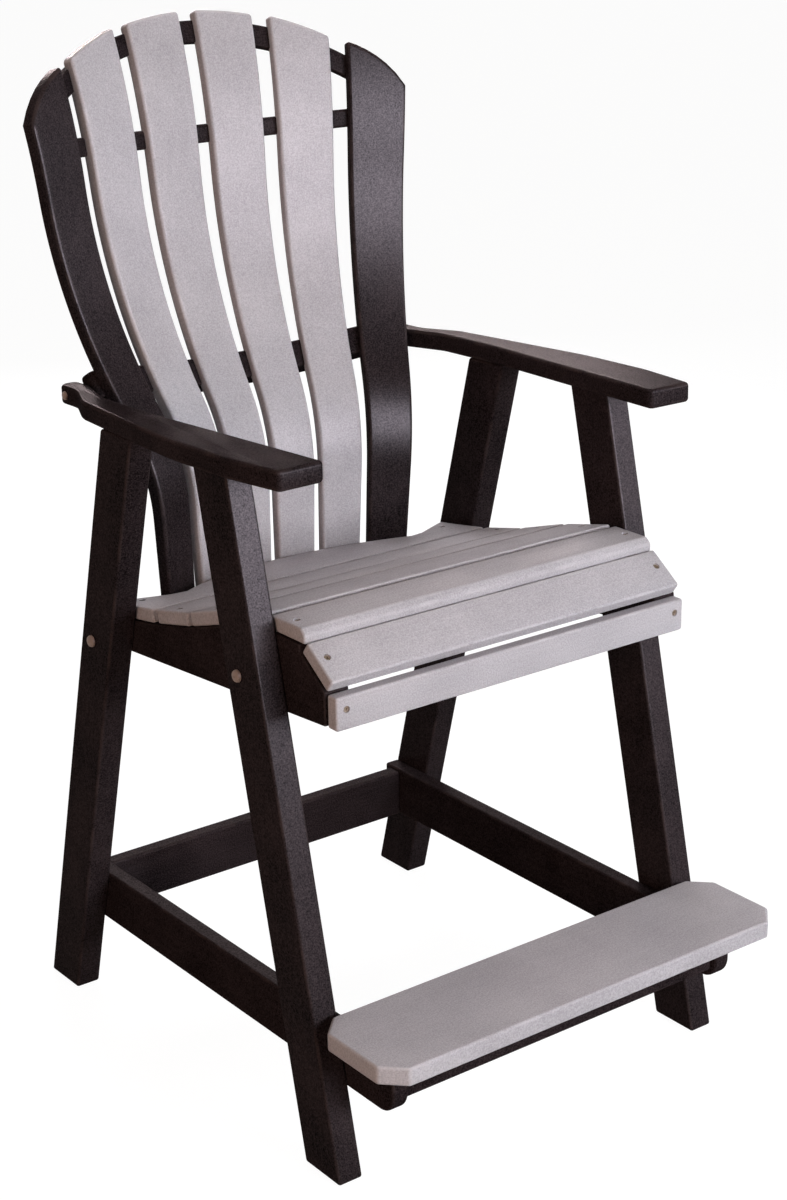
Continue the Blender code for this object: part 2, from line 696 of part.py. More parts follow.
# Legs: level at the foot, cut to the arm's underside at the top
def build_legs():
    legs = {}
    for place, foot_y, lean in LEG_PLACES:
        half = FRONT_LEG_HALF if place == "front" else REAR_LEG_HALF
        ends = []
        for edge in (foot_y - half, foot_y + half):
            reach = arm_underside(edge) - FIT
            top = reach / (1 + math.tan(ARM_FALL) * math.tan(lean))
            ends.append((edge + math.tan(lean) * top, top))
        outline = ((foot_y - half, 0.0), (foot_y + half, 0.0), ends[1], ends[0])
        for side, sign in SIDES:
            name = "%s_%s_leg" % (side, place)
            middle = sign * (LEG_INNER_X + LEG_THICKNESS / 2)
            matrix = Matrix.Translation((middle, 0.0, 0.0)) @ IN_YZ
            legs[place, side] = add_board(name, "dark_board", outline, LEG_THICKNESS, matrix)
    return legs


# Seat slats: tops and slopes of the level slat, the scooped slats and the rear slat
def seat_lines():
    lines = [((SEAT_FRONT_Y, SEAT_HEIGHT), 0.0, FIRST_SLAT_DEPTH)]
    for depth, slope in zip((SCOOP_SLAT_DEPTH, SCOOP_SLAT_DEPTH, LAST_SCOOP_DEPTH), SCOOP_SLOPES):
        start, last_slope, last_depth = lines[-1]
        lines.append((along(start, last_slope, last_depth + SEAT_SLAT_GAP), slope, depth))
    start, last_slope, last_depth = lines[-1]
    rear = along(start, last_slope, last_depth + SEAT_SLAT_GAP)
    rear_depth = BACK_BASE_Y - REAR_SLAT_END_SETBACK - rear[0]
    lines.append((rear, REAR_SLAT_SLOPE, rear_depth / math.cos(REAR_SLAT_SLOPE)))
    return lines


SEAT_LINES = seat_lines()
NOSE_START = (SEAT_FRONT_Y - NOSE_SET_FORWARD, SEAT_HEIGHT - NOSE_SET_DOWN)
# the nose slat falls forwards, so its run along the slope is counted backwards
NOSE_FOOT = along(NOSE_START, -NOSE_SLOPE, -NOSE_DEPTH)
NOSE_FOOT_BACK = along(NOSE_START, -NOSE_SLOPE, -NOSE_DEPTH, -SEAT_SLAT_THICKNESS)
APRON_TOP = NOSE_FOOT_BACK[1] - APRON_DROP
APRON_BACK_Y = NOSE_FOOT_BACK[0] + FIT
SEAT_RAIL_FRONT = (APRON_BACK_Y + FIT, APRON_TOP - APRON_HEIGHT + SEAT_RAIL_RISE)


def add_seat_slat(name, outline):
    matrix = IN_YZ.copy()
    return add_board(name, "light_board", outline, 2 * SEAT_SLAT_HALF, matrix, SLAT_EDGE_ROUND)


def build_seat_slats():
    slats = []
    apron = (
        (APRON_BACK_Y - SEAT_SLAT_THICKNESS, APRON_TOP),
        (APRON_BACK_Y, APRON_TOP),
        (APRON_BACK_Y, APRON_TOP - APRON_HEIGHT),
        (APRON_BACK_Y - SEAT_SLAT_THICKNESS, APRON_TOP - APRON_HEIGHT),
    )
    face = (0.0, APRON_BACK_Y - SEAT_SLAT_THICKNESS, APRON_TOP - APRON_HEIGHT / 2 + FRONT_SCREW_RISE)
    slats.append((add_seat_slat("seat_apron", apron), face, (0.0, -1.0, 0.0)))

    nose = slat_section(NOSE_FOOT, -NOSE_SLOPE, NOSE_DEPTH, SEAT_SLAT_THICKNESS)
    face = (0.0, *along(NOSE_START, -NOSE_SLOPE, FRONT_SCREW_RISE - NOSE_DEPTH / 2))
    outwards = (0.0, -math.sin(NOSE_SLOPE), math.cos(NOSE_SLOPE))
    slats.append((add_seat_slat("seat_nose_slat", nose), face, outwards))

    start, slope, depth = SEAT_LINES[0]
    bottom = SEAT_HEIGHT - SEAT_SLAT_THICKNESS
    first = (
        (start[0], SEAT_HEIGHT - FIRST_SLAT_CHAMFER),
        (start[0] + FIRST_SLAT_CHAMFER, SEAT_HEIGHT),
        (start[0] + depth, SEAT_HEIGHT),
        (start[0] + depth, bottom),
        (start[0], bottom),
    )
    face = (0.0, *along(start, slope, depth / 2))
    slats.append((add_seat_slat("seat_slat_1", first), face, (0.0, 0.0, 1.0)))

    for index, (start, slope, depth) in enumerate(SEAT_LINES[1:-1]):
        section = slat_section(start, slope, depth, SEAT_SLAT_THICKNESS)
        part = add_seat_slat("seat_slat_%d" % (index + 2), section)
        face = (0.0, *along(start, slope, depth / 2))
        slats.append((part, face, (0.0, math.sin(slope), math.cos(slope))))

    slats.append(build_rear_slat())
    return slats


# Rear seat slat: its rear edge is hollowed round the feet of the back slats
def build_rear_slat():
    start, slope, depth = SEAT_LINES[-1]
    half = SEAT_SLAT_HALF
    corner = (half - REAR_SLAT_CORNER, depth - REAR_SLAT_SLANT)
    radius = BACK_RADIUS * REAR_SLAT_CURVE
    widest = math.asin((corner[0] - REAR_SLAT_NOTCH) / radius)
    arc = []
    pieces = 16
    for piece in range(pieces + 1):
        turn = widest * (1 - 2 * piece / pieces)
        y = BACK_BASE_Y - SEAT_TO_BACK_GAP - radius * (1 - math.cos(turn))
        arc.append((radius * math.sin(turn), (y - start[0]) / math.cos(slope)))
    outline = [(-half, 0.0), (half, 0.0), (half, depth), corner]
    outline += arc + [(-corner[0], corner[1]), (-half, depth)]
    top = Matrix.Translation((0.0, *start)) @ Matrix.Rotation(-slope, 4, "X")
    matrix = top @ Matrix.Translation((0.0, 0.0, -SEAT_SLAT_THICKNESS / 2))
    part = add_board("seat_slat_5", "light_board", outline, SEAT_SLAT_THICKNESS, matrix, SLAT_EDGE_ROUND)
    face = (-REAR_SLAT_SCREW_INSET, *along(start, slope, REAR_SLAT_SCREW_SETBACK))
    return part, face, (0.0, math.sin(slope), math.cos(slope))


# Seat rails: the top edge has one flat for each slat
def build_seat_rails():
    drop = -SEAT_SLAT_THICKNESS - FIT
    flats = [(along(start, slope, 0, drop), slope) for start, slope, depth in SEAT_LINES]
    nose_flat = along(NOSE_START, -NOSE_SLOPE, 0, drop)
    rear_y = BOTTOM_RAIL_STEP_Y + BOTTOM_RAIL_DEPTH + SEAT_RAIL_REAR_MARGIN
    front_y, front_z = SEAT_RAIL_FRONT
    rear_z = front_z - math.tan(SEAT_RAIL_SLOPE) * (rear_y - front_y)
    nose_low = crossing(nose_flat, -NOSE_SLOPE, (front_y, 0.0), math.radians(89.999))
    outline = [(front_y, front_z), nose_low, nose_flat, (nose_flat[0], flats[0][0][1])]
    for (first, first_slope), (second, second_slope) in zip(flats, flats[1:]):
        outline.append(crossing(first, first_slope, second, second_slope))
    start, slope, depth = SEAT_LINES[-1]
    outline.append(along(start, slope, depth, drop))
    outline.append((rear_y, rear_z + SEAT_RAIL_REAR_HEIGHT))
    outline.append((rear_y, rear_z))
    rails = {}
    for side, sign in SIDES:
        matrix = Matrix.Translation((sign * SEAT_RAIL_X, 0.0, 0.0)) @ IN_YZ
        name = side + "_seat_rail"
        rails[side] = add_board(name, "dark_board", outline, SEAT_RAIL_THICKNESS, matrix, SLAT_EDGE_ROUND)
    return rails


# Lower frame: side stretchers, rear stretcher, cross rail and footrest
def build_lower_frame():
    outline = rounded((
        (STRETCHER_REAR_Y, STRETCHER_BOTTOM),
        (STRETCHER_REAR_Y, STRETCHER_TOP),
        (STRETCHER_FRONT_Y, STRETCHER_TOP),
        (STRETCHER_FRONT_Y, STRETCHER_BOTTOM, STRETCHER_NOSE_ROUND),
    ))
    stretchers = {}
    for side, sign in SIDES:
        matrix = Matrix.Translation((sign * STRETCHER_X, 0.0, 0.0)) @ IN_YZ
        name = side + "_stretcher"
        stretchers[side] = add_board(name, "dark_board", outline, STRETCHER_THICKNESS, matrix)
    length = 2 * (STRETCHER_INNER_X - FIT)
    for name, front, bottom, top in (
        ("rear_stretcher", REAR_STRETCHER_FRONT_Y, STRETCHER_BOTTOM, STRETCHER_TOP - REAR_STRETCHER_DROP),
        ("footrest_cross_rail", CROSS_RAIL_FRONT_Y, CROSS_RAIL_BOTTOM, STRETCHER_TOP),
    ):
        rear = front + STRETCHER_THICKNESS
        section = ((front, bottom), (front, top), (rear, top), (rear, bottom))
        add_board(name, "dark_board", section, length, IN_YZ.copy())
    half = FOOTREST_WIDTH / 2
    plan = (
        (half - FOOTREST_CLIP, FOOTREST_FRONT_Y),
        (half, FOOTREST_FRONT_Y + FOOTREST_CLIP),
        (half, FOOTREST_REAR_Y - FOOTREST_CLIP),
        (half - FOOTREST_CLIP, FOOTREST_REAR_Y),
    )
    outline = list(plan) + [(-x, y) for x, y in reversed(plan)]
    matrix = Matrix.Translation((0.0, 0.0, FOOTREST_BOTTOM + FOOTREST_THICKNESS / 2))
    add_board("footrest", "light_board", outline, FOOTREST_THICKNESS, matrix)
    return stretchers


# Fasteners: seat bolts with nuts, slat screws, stretcher screws and arm tail screws
def build_fasteners(legs, rails, slats, stretchers, arms, arm_rail, arm_place):
    for side, sign in SIDES:
        outwards = Vector((sign, 0.0, 0.0))
        for place, foot_y, lean in LEG_PLACES:
            label = "%s_%s" % (side, place)
            z = BOLT_HEIGHTS[place]
            y = leg_middle(foot_y, lean, z) + BOLT_SETBACK
            face = Vector((sign * LEG_OUTER_X, y, z))
            nut_x = SEAT_RAIL_INNER_X - FIT - NUT_HEIGHT / 2
            length = abs(face.x) - nut_x + NUT_HEIGHT
            cap = (BOLT_CAP_RADIUS, BOLT_CAP_HEIGHT)
            boards = (legs[place, side], rails[side])
            hole = add_capped(label + "_seat_bolt", face, outwards, cap, BOLT_RADIUS, length, boards)
            work = bmesh.new()
            bmesh.ops.create_cone(
                work, cap_ends=True, segments=6, radius1=NUT_RADIUS, radius2=NUT_RADIUS, depth=NUT_HEIGHT
            )
            mesh = bpy.data.meshes.new(label + "_seat_nut")
            work.to_mesh(mesh)
            work.free()
            matrix = facing(Vector((sign * nut_x, y, z)), outwards)
            nut = add_part(label + "_seat_nut", mesh, "steel", matrix)
            cut(nut, hole)

            z = (STRETCHER_BOTTOM + STRETCHER_TOP) / 2
            face = Vector((sign * STRETCHER_INNER_X, leg_middle(foot_y, lean, z), z))
            boards = (stretchers[side], legs[place, side])
            add_screw(label + "_stretcher_screw", face, -outwards, STRETCHER_SCREW_LENGTH, boards)

        for slat, face, direction in slats:
            point = Vector((sign * (SEAT_RAIL_X + face[0]), face[1], face[2]))
            name = "%s_%s_screw" % (side, slat.name)
            add_screw(name, point, Vector(direction), SEAT_SCREW_LENGTH, (slat, rails[side]))

        middle = arm_underside(arm_place.screw_y) + ARM_THICKNESS / 2
        face = Vector((sign * (arm_place.tail_inner + ARM_TAIL_WIDTH), arm_place.screw_y, middle))
        cap = (TAIL_CAP_RADIUS, TAIL_CAP_HEIGHT)
        boards = (arms[side], arm_rail)
        add_capped(side + "_arm_tail_screw", face, outwards, cap, SCREW_RADIUS, TAIL_SCREW_LENGTH, boards)


# The chair's origin lies on the floor under the middle of its overall depth
CHAIR = bpy.data.objects.new("chair", None)
PARTS.objects.link(CHAIR)
CROWN_RAIL_BACK = BACK_THICKNESS - RAIL_BITE + CROWN_RAIL_DEPTH
REARMOST_Y = back_point(0.0, CROWN_TOP - CROWN_RAIL_DROP, 0.0, CROWN_RAIL_BACK).y
CHAIR.location.y = -(FOOTREST_FRONT_Y + REARMOST_Y) / 2

ARM_PLACE = ArmRailPlace()
LEGS = build_legs()
ARMS = build_arms(ARM_PLACE)
RAILS = build_seat_rails()
SLATS = build_seat_slats()
STRETCHERS = build_lower_frame()
build_back_slats()
ARM_RAIL = build_back_rails(build_slat_cutter(), ARM_PLACE)
build_fasteners(LEGS, RAILS, SLATS, STRETCHERS, ARMS, ARM_RAIL, ARM_PLACE)
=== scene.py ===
import math

import bpy
from mathutils import Matrix, Vector


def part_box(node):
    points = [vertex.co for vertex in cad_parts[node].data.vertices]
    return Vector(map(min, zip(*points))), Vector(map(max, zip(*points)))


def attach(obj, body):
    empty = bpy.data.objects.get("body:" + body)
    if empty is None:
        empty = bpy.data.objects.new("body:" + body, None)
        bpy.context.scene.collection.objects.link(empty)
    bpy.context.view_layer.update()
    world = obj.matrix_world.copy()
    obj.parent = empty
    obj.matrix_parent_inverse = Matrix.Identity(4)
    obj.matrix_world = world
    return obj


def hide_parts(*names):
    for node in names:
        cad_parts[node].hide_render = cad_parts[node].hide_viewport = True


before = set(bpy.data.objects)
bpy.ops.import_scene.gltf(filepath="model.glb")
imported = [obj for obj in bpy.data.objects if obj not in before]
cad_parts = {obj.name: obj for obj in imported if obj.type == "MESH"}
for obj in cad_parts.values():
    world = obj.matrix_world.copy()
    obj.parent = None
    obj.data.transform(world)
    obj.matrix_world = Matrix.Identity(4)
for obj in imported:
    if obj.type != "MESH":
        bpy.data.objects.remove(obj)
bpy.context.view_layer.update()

mm = 0.001

# the chair was drawn with its feet evenly about y = 0, the frame has its middle there
chair = {"footrestFrontY": -502.769 * mm}
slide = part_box("footrest")[0].y - chair["footrestFrontY"]
print("frame loaded, slide %.4f" % slide)


def deselectAll():
    if bpy.context.mode != "OBJECT":
        bpy.ops.object.mode_set(mode="OBJECT")
    bpy.ops.object.select_all(action="DESELECT")


def pickOnly(piece):
    deselectAll()
    piece.select_set(True)
    bpy.context.view_layer.objects.active = piece


# the next two leave edit mode open, with only the faces or edges that a test on their place picks
def pickFaces(piece, wanted):
    bpy.ops.object.mode_set(mode="OBJECT")
    mesh = piece.data
    for vertex in mesh.vertices:
        vertex.select = False
    for edge in mesh.edges:
        edge.select = False
    for face in mesh.polygons:
        face.select = wanted(face.center, face.normal)
    bpy.ops.object.mode_set(mode="EDIT")
    bpy.ops.mesh.select_mode(type="FACE")


def pickEdges(piece, wanted):
    bpy.ops.object.mode_set(mode="OBJECT")
    mesh = piece.data
    for face in mesh.polygons:
        face.select = False
    for vertex in mesh.vertices:
        vertex.select = False
    for edge in mesh.edges:
        first, second = (mesh.vertices[index].co for index in edge.vertices)
        edge.select = wanted(first, second)
    bpy.ops.object.mode_set(mode="EDIT")
    bpy.ops.mesh.select_mode(type="EDGE")


def applyModifier(piece, kind, **settings):
    pickOnly(piece)
    modifier = piece.modifiers.new(kind.lower(), kind)
    for key, value in settings.items():
        setattr(modifier, key, value)
    bpy.ops.object.modifier_apply(modifier=modifier.name)


def applyPlace(piece):
    pickOnly(piece)
    bpy.ops.object.transform_apply(location=True, rotation=True, scale=True)


def copyPiece(piece, name):
    pickOnly(piece)
    bpy.ops.object.duplicate(linked=False)
    twin = bpy.context.object
    twin.name = name
    return twin


def dropPiece(piece):
    pickOnly(piece)
    bpy.ops.object.delete()


# cuts the shape of a tool out of a piece, the tool is used up
def cutAway(piece, tool):
    applyModifier(piece, "BOOLEAN", object=tool, operation="DIFFERENCE", solver="EXACT")
    dropPiece(tool)


# two empty slots, so that a bevel can leave its faces in the second one
def twoSlots(piece):
    while len(piece.data.materials) < 2:
        piece.data.materials.append(None)


# points inside a rounding carry 1 in an attribute that the lumber reads as rubbed wear, and as a
# painted highlight along the rounding
def markWearAndHighlight(piece):
    mesh = piece.data
    flat = set()
    for face in mesh.polygons:
        if face.material_index == 0:
            flat.update(face.vertices)
        face.material_index = 0
    wearAndHighlightMark = mesh.attributes.new("edgeWearAndHighlight", "FLOAT", "POINT")
    for index in range(len(mesh.vertices)):
        wearAndHighlightMark.data[index].value = 0.0 if index in flat else 1.0


easing = {"sharpFrom": math.radians(35), "faceWeight": 80}


# rounds the edges of a finished board and keeps its flat faces flat in the shading
def easeEdges(piece, radius, segments=4, clamp=True):
    pickOnly(piece)
    bpy.ops.object.shade_smooth()
    twoSlots(piece)
    applyModifier(piece, "BEVEL", width=radius, segments=segments, limit_method="ANGLE",
                  material=1, angle_limit=easing["sharpFrom"], use_clamp_overlap=clamp)
    applyModifier(piece, "WEIGHTED_NORMAL", mode="FACE_AREA", weight=easing["faceWeight"],
                  keep_sharp=True)
    markWearAndHighlight(piece)


# a finished piece gets its material and its body, and the nodes that it stands for are hidden
def hand(piece, material, slot, *nodes):
    piece.data.materials.clear()
    piece.data.materials.append(material)
    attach(piece, "root")
    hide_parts(*nodes)


# one straight board: a cube at its size and place, turned about X
def sawBoard(name, size, middle, turn=0.0):
    deselectAll()
    bpy.ops.mesh.primitive_cube_add(size=1, location=middle, rotation=(turn, 0, 0), scale=size)
    board = bpy.context.object
    board.name = name
    applyPlace(board)
    return board


# one shaped board: a flat outline in XY, raised to its thickness about z = 0
def cutBoard(name, outline, thickness):
    deselectAll()
    bpy.ops.mesh.primitive_circle_add(vertices=len(outline), fill_type="NGON")
    board = bpy.context.object
    board.name = name
    for vertex, (x, y) in zip(board.data.vertices, outline):
        vertex.co = (x, y, -thickness / 2)
    bpy.ops.object.mode_set(mode="EDIT")
    bpy.ops.mesh.select_all(action="SELECT")
    bpy.ops.mesh.extrude_region_move(TRANSFORM_OT_translate={"value": (0, 0, thickness)})
    bpy.ops.mesh.select_all(action="SELECT")
    bpy.ops.mesh.normals_make_consistent(inside=False)
    bpy.ops.object.mode_set(mode="OBJECT")
    return board


# outline of straight sides, with an arc for each corner that has a radius
def roundCorners(corners, step):
    nearlyStraight = 0.001
    outline = []
    for index, (x, y, radius) in enumerate(corners):
        here = Vector((x, y))
        before = (Vector(corners[index - 1][:2]) - here).normalized()
        after = (Vector(corners[(index + 1) % len(corners)][:2]) - here).normalized()
        half = before.angle(after) / 2
        sweep = math.pi - 2 * half
        if radius == 0 or sweep < nearlyStraight:
            outline.append(tuple(here))
            continue
        middle = here + (before + after).normalized() * (radius / math.sin(half))
        start = here + before * (radius / math.tan(half)) - middle
        end = here + after * (radius / math.tan(half)) - middle
        way = 1 if start.cross(end) > 0 else -1
        pieces = max(2, math.ceil(sweep / step))
        for piece in range(pieces + 1):
            turn = Matrix.Rotation(way * sweep * piece / pieces, 2)
            outline.append(tuple(middle + turn @ start))
    return outline


# materials

def linearFrom(hexColour):
    parts = [int(hexColour[place:place + 2], 16) / 255 for place in (1, 3, 5)]
    linear = [part / 12.92 if part <= 0.04045 else ((part + 0.055) / 1.055) ** 2.4
              for part in parts]
    return (*linear, 1.0)


def addNode(tree, kind, settings={}, links={}):
    node = tree.nodes.new(kind)
    for key, value in settings.items():
        if isinstance(key, int) or key in node.inputs:
            node.inputs[key].default_value = value
        else:
            setattr(node, key, value)
    for key, source in links.items():
        tree.links.new(source, node.inputs[key])
    return node


def startMaterial(name):
    material = bpy.data.materials.new(name)
    material.use_nodes = True
    tree = material.node_tree
    return material, tree, tree.nodes["Principled BSDF"]


# high density polyethylene lumber, extruded and then sanded to a matt skin: fine specks all over,
# faint streaks along the board where the melt flowed, broad clouds where the sander pressed more,
# and a thin shine that the specks break up
lumber = {
    "speckSize": 2.1 * mm,         # real grit marks are about 0.4 mm, drawn coarser to show
    "streakWidth": 5 * mm,
    "streakLength": 30,            # times its width
    "cloudSize": 90 * mm,
    "streakShare": 0.4,            # of the streaks, added to the clouds
    "driftShare": 0.35,            # of that sum, added to the specks
    "toneRange": (0.5, 0.99),      # of the whole, from the low to the high colour
    "bumpHeight": 0.1 * mm, "bumpStrength": 0.6,
    "rubAndHighlightSize": 40 * mm,            # paler and untouched lengths along an edge, paler partly from rubbing and partly as a painted highlight
    # patches of rounded edge and the share that turns paler: partly rubbed wear, partly a painted
    # highlight
    "rubAndHighlightRange": (0.4, 0.65), "rub": 0.4,
    "rubSmooth": 0.12,             # taken off the roughness where it is rubbed
    "coatRoughness": 0.31,
    "sparkle": 0.3,                # share by which the specks break up the shine
    "sparkleRange": (0.35, 0.65),
}
# edge is the paler colour of rounded edges, partly rubbed wear and partly a painted highlight
darkLumber = {"low": "#040303", "high": "#393032", "edge": "#473c3b", "rough": (0.62, 0.74)}
lightLumber = {"low": "#9b979c", "high": "#c0bcc1", "edge": "#c5c1c5", "rough": (0.62, 0.74)}
# weight of the shine: uprights keep most of it, arms are rubbed by hands, the frame is dull
shine = {"upright": 0.027, "arm": 0.014, "seat": 0.008, "frame": 0.003}
grain = {"up": (0, 0, 0), "along": (math.pi / 2, 0, 0), "across": (0, math.pi / 2, 0)}


def lumberMaterial(name, look, way, gloss):
    material, tree, shader = startMaterial(name)
    place = addNode(tree, "ShaderNodeTexCoord").outputs["Object"]
    drawn = addNode(tree, "ShaderNodeMapping", {
        "vector_type": "TEXTURE", "Rotation": grain[way], "Scale": (1, 1, lumber["streakLength"]),
    }, {"Vector": place}).outputs["Vector"]
    speck = addNode(tree, "ShaderNodeTexNoise", {
        "Scale": 1 / lumber["speckSize"], "Detail": 2.0, "Roughness": 0.6,
    }, {"Vector": place}).outputs["Fac"]
    streak = addNode(tree, "ShaderNodeTexNoise", {
        "Scale": 1 / lumber["streakWidth"], "Detail": 3.0, "Roughness": 0.55,
    }, {"Vector": drawn}).outputs["Fac"]
    cloud = addNode(tree, "ShaderNodeTexNoise", {
        "Scale": 1 / lumber["cloudSize"], "Detail": 2.0,
    }, {"Vector": place}).outputs["Fac"]

    drift = addNode(tree, "ShaderNodeMath", {
        "operation": "MULTIPLY_ADD", 1: lumber["streakShare"],
    }, {0: streak, 2: cloud}).outputs[0]
    whole = addNode(tree, "ShaderNodeMath", {
        "operation": "MULTIPLY_ADD", 1: lumber["driftShare"],
    }, {0: drift, 2: speck}).outputs[0]
    tone = addNode(tree, "ShaderNodeMapRange", {
        "From Min": lumber["toneRange"][0], "From Max": lumber["toneRange"][1],
    }, {"Value": whole}).outputs["Result"]
    colour = addNode(tree, "ShaderNodeMix", {
        "data_type": "RGBA", 6: linearFrom(look["low"]), 7: linearFrom(look["high"]),
    }, {0: tone}).outputs[2]

    # rounded edges are paler and smoother in patches: smoother where rubbed, paler partly from
    # rubbing and partly as a painted highlight on the rounding
    edge = addNode(tree, "ShaderNodeAttribute", {"attribute_name": "edgeWearAndHighlight"}).outputs["Fac"]
    patch = addNode(tree, "ShaderNodeTexNoise", {
        "Scale": 1 / lumber["rubAndHighlightSize"], "Detail": 3.0,
    }, {"Vector": place}).outputs["Fac"]
    patch = addNode(tree, "ShaderNodeMapRange", {
        "From Min": lumber["rubAndHighlightRange"][0], "From Max": lumber["rubAndHighlightRange"][1],
        "To Max": lumber["rub"],
    }, {"Value": patch}).outputs["Result"]
    rubbedAndHighlit = addNode(tree, "ShaderNodeMath", {
        "operation": "MULTIPLY",
    }, {0: edge, 1: patch}).outputs[0]
    colour = addNode(tree, "ShaderNodeMix", {
        "data_type": "RGBA", 7: linearFrom(look["edge"]),
    }, {0: rubbedAndHighlit, 6: colour}).outputs[2]
    rough = addNode(tree, "ShaderNodeMapRange", {
        "To Min": look["rough"][1], "To Max": look["rough"][0],
    }, {"Value": cloud}).outputs["Result"]
    rough = addNode(tree, "ShaderNodeMath", {
        "operation": "MULTIPLY_ADD", 1: -lumber["rubSmooth"],
    }, {0: rubbedAndHighlit, 2: rough}).outputs[0]

    bump = addNode(tree, "ShaderNodeBump", {
        "Strength": lumber["bumpStrength"], "Distance": lumber["bumpHeight"],
    }, {"Height": speck}).outputs["Normal"]
    skin = addNode(tree, "ShaderNodeMapRange", {    # a thin skin of shine over the matt board
        "From Min": lumber["sparkleRange"][0], "From Max": lumber["sparkleRange"][1],
        "To Min": gloss * (1 - lumber["sparkle"]), "To Max": gloss * (1 + lumber["sparkle"]),
    }, {"Value": speck}).outputs["Result"]
    shader.inputs["Specular IOR Level"].default_value = 0.0
    shader.inputs["Coat Roughness"].default_value = lumber["coatRoughness"]
    tree.links.new(skin, shader.inputs["Coat Weight"])
    tree.links.new(colour, shader.inputs["Base Color"])
    tree.links.new(rough, shader.inputs["Roughness"])
    tree.links.new(bump, shader.inputs["Normal"])
    tree.links.new(bump, shader.inputs["Coat Normal"])
    return material


darkUp = lumberMaterial("darkHdpeUpright", darkLumber, "up", shine["upright"])
darkArm = lumberMaterial("darkHdpeArm", darkLumber, "along", shine["arm"])
darkAlong = lumberMaterial("darkHdpeForeAft", darkLumber, "along", shine["frame"])
darkAcross = lumberMaterial("darkHdpeCross", darkLumber, "across", shine["frame"])
lightUp = lumberMaterial("lightHdpeUpright", lightLumber, "up", shine["upright"])
lightAcross = lumberMaterial("lightHdpeCross", lightLumber, "across", shine["seat"])


# injection moulded nylon cap: even tan with a fine spark eroded grain and a soft shine
nylon = {
    "grain": 1.2 * mm, "low": "#86766e", "high": "#a8978e",
    "bumpHeight": 0.1 * mm, "bumpStrength": 0.4, "roughness": 0.42, "specular": 0.08,
}


def capMaterial():
    material, tree, shader = startMaterial("tanNylonMoulded")
    place = addNode(tree, "ShaderNodeTexCoord").outputs["Object"]
    speck = addNode(tree, "ShaderNodeTexNoise", {
        "Scale": 1 / nylon["grain"], "Detail": 2.0,
    }, {"Vector": place}).outputs["Fac"]
    colour = addNode(tree, "ShaderNodeMix", {
        "data_type": "RGBA", 6: linearFrom(nylon["low"]), 7: linearFrom(nylon["high"]),
    }, {0: speck}).outputs[2]
    bump = addNode(tree, "ShaderNodeBump", {
        "Strength": nylon["bumpStrength"], "Distance": nylon["bumpHeight"],
    }, {"Height": speck}).outputs["Normal"]
    shader.inputs["Roughness"].default_value = nylon["roughness"]
    shader.inputs["Specular IOR Level"].default_value = nylon["specular"]
    tree.links.new(colour, shader.inputs["Base Color"])
    tree.links.new(bump, shader.inputs["Normal"])
    return material


# stainless steel, cold headed and passivated: grey shine broken up by fine forming marks
stainless = {"mark": 0.9 * mm, "low": "#8d8a85", "high": "#c4c1bb", "rough": (0.28, 0.5)}


def steelMaterial():
    material, tree, shader = startMaterial("stainlessColdHeaded")
    place = addNode(tree, "ShaderNodeTexCoord").outputs["Object"]
    mark = addNode(tree, "ShaderNodeTexNoise", {
        "Scale": 1 / stainless["mark"], "Detail": 3.0,
    }, {"Vector": place}).outputs["Fac"]
    rough = addNode(tree, "ShaderNodeMapRange", {
        "To Min": stainless["rough"][0], "To Max": stainless["rough"][1],
    }, {"Value": mark}).outputs["Result"]
    colour = addNode(tree, "ShaderNodeMix", {
        "data_type": "RGBA", 6: linearFrom(stainless["low"]), 7: linearFrom(stainless["high"]),
    }, {0: mark}).outputs[2]
    shader.inputs["Metallic"].default_value = 1.0
    tree.links.new(colour, shader.inputs["Base Color"])
    tree.links.new(rough, shader.inputs["Roughness"])
    return material


# deck screw, steel dipped in a tan polymer: dull olive brown, rubbed through in spots by the driver
dip = {
    "spot": 1.5 * mm, "spotRange": (0.35, 0.7), "low": "#57493a", "high": "#a08f7e",
    "rough": (0.6, 0.4), "specular": 0.05,
}


def dippedMaterial():
    material, tree, shader = startMaterial("deckScrewDipped")
    place = addNode(tree, "ShaderNodeTexCoord").outputs["Object"]
    spot = addNode(tree, "ShaderNodeTexNoise", {
        "Scale": 1 / dip["spot"], "Detail": 3.0,
    }, {"Vector": place}).outputs["Fac"]
    tone = addNode(tree, "ShaderNodeMapRange", {
        "From Min": dip["spotRange"][0], "From Max": dip["spotRange"][1],
    }, {"Value": spot}).outputs["Result"]
    colour = addNode(tree, "ShaderNodeMix", {
        "data_type": "RGBA", 6: linearFrom(dip["low"]), 7: linearFrom(dip["high"]),
    }, {0: tone}).outputs[2]
    rough = addNode(tree, "ShaderNodeMapRange", {
        "To Min": dip["rough"][0], "To Max": dip["rough"][1],
    }, {"Value": spot}).outputs["Result"]
    shader.inputs["Specular IOR Level"].default_value = dip["specular"]
    tree.links.new(colour, shader.inputs["Base Color"])
    tree.links.new(rough, shader.inputs["Roughness"])
    return material


tanCap = capMaterial()
steel = steelMaterial()
dipped = dippedMaterial()
print("materials made")


# back slats: bent boards set round a circle, each turned and fanned, with tops sawn to one crown

